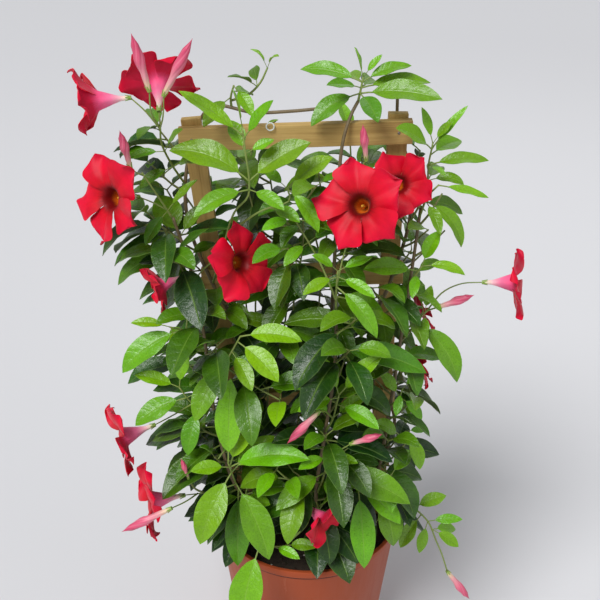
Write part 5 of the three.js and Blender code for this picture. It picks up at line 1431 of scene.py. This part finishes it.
def leafy_pieces(name, stems, grown, ages, grid):
    """Two pieces for one group of leaves: the blades, and the stems with the leaves' stalks. Ages, the
    blades' and the stems', go from 0, young and pale green, to 1, old and dark or brown."""
    blade_age, stem_age = ages
    blades, wood = bmesh.new(), bmesh.new()
    blade_marks = [blades.verts.layers.float.new("age"), blades.verts.layers.float.new("tint")]
    wood_marks = [wood.verts.layers.float.new("age")]
    for route, radius in stems:
        places = Route(route).spaced(stem_pitch)
        count = len(places) - 1
        radii = [radius * stem_slim * (1 - stem_taper * i / count) for i in range(count + 1)]
        spine = spine_of(places, radii)
        made = lay_grid(wood, stem_sides, len(spine) - 1, lambda u, v: stem_point(spine, u, v))
        mark(made, wood_marks, [stem_age])
    for leaf in grown:
        made = lay_grid(blades, *grid, lambda u, v: blade_point(leaf, v, 1 - 2 * u))
        age = blade_age - tip_youth * leaf["along"] ** 1.5 + sway(leaf["seed"], 11, age_sway)
        mark(made, blade_marks, [min(1, max(0, age)), chance(leaf["seed"], 12)])
        places = [leaf["root"].lerp(leaf["base"], t) for t in stalk_stops]
        for t in rib_stops:
            at, face = leaf_point(leaf, t, 0)
            places.append(at - face * (rib_sunk * leaf["length"] / usual_leaf))
        spine = spine_of(places, [r * min(1, leaf["length"] / full_stalk_leaf) for r in stalk_radii])
        made = lay_grid(wood, stalk_sides, len(spine) - 1, lambda u, v: stem_point(spine, u, v))
        mark(made, wood_marks, [stalk_age])
    bmesh.ops.remove_doubles(blades, verts=blades.verts, dist=seam_gap)
    crisp_rim(blades)
    close_seams(wood)
    pieces = [piece_of(f"stems_{name}", wood, [stem_skin])]
    if grown:
        pieces.append(piece_of(f"leaves_{name}", blades, [blade_top, blade_under]))
        thicken(pieces[1], blade_thick)
    return pieces


for name, sprigs in shoots.items():
    stems = [(s["route"], twig_radius if "pairs" in s or "tips" in s else stalk_radius) for s in sprigs]
    for piece in leafy_pieces(name, stems, leaves[name], shoot_ages, blade_grid):
        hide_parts(name)
for name, vine in vines.items():
    for piece in leafy_pieces(name, [(vine["route"], vine_radius)], leaves[name], vine_ages, blade_grid):
        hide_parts(name)
for name in inner:
    stems = [(sprig, twig_radius) for sprig in inner_stems[name]]
    leafy_pieces(f"inner_{name}", stems, inner[name], inner_ages_and_shade, inner_grid)

# Camera, floor and light
# Looking down on the plant from a standing eye's height, close enough for the pot to leave the frame.
camera_place = (-0.010, -0.948, 1.088)
camera_pitch = math.radians(29.2)
frame_pixels, focal_pixels, sensor_width = 600, 900, 36
camera_data = bpy.data.cameras.new("camera")
camera_data.sensor_width = sensor_width
camera_data.lens = focal_pixels / frame_pixels * sensor_width
camera = place_object("camera", camera_data)
camera.location = camera_place
camera.rotation_euler = (math.pi / 2 - camera_pitch, 0, 0)
bpy.context.scene.camera = camera

floor_size = 30
bm = bmesh.new()
bmesh.ops.create_grid(bm, x_segments=1, y_segments=1, size=floor_size)
floor = mesh_object("floor", bm)
floor_finish, _, floor_shader = new_finish("pale floor")
floor_shader.inputs["Base Color"].default_value = colour(0.66, 0.66, 0.68)
floor_shader.inputs["Roughness"].default_value = 0.6
floor.data.materials.append(floor_finish)


def aim_light(kind, name, place, power, spread):
    """A light turned towards the plant's middle; spread is a sun's angle, or an area's size."""
    lamp = bpy.data.lights.new(name, kind)
    lamp.energy = power
    if kind == "SUN":
        lamp.angle = spread
    else:
        lamp.size = spread
    light = place_object(name, lamp)
    light.location = place
    light.rotation_euler = (Vector(plant_middle) - Vector(place)).to_track_quat("-Z", "Y").to_euler()


plant_middle = (0, 0, 0.5)
aim_light("SUN", "key light", (-1.0, -1.3, 2.6), 2.75, math.radians(28))
aim_light("AREA", "fill light", (1.8, -1.2, 1.6), 6, 1.8)
aim_light("AREA", "back light", (0.6, 1.9, 2.2), 8, 1.6)
world = bpy.data.worlds.new("studio")
world.use_nodes = True
world.node_tree.nodes["Background"].inputs["Color"].default_value = colour(0.95, 0.97, 1)
world.node_tree.nodes["Background"].inputs["Strength"].default_value = 0.34
bpy.context.scene.world = world
bpy.context.scene.view_settings.view_transform = "Standard"
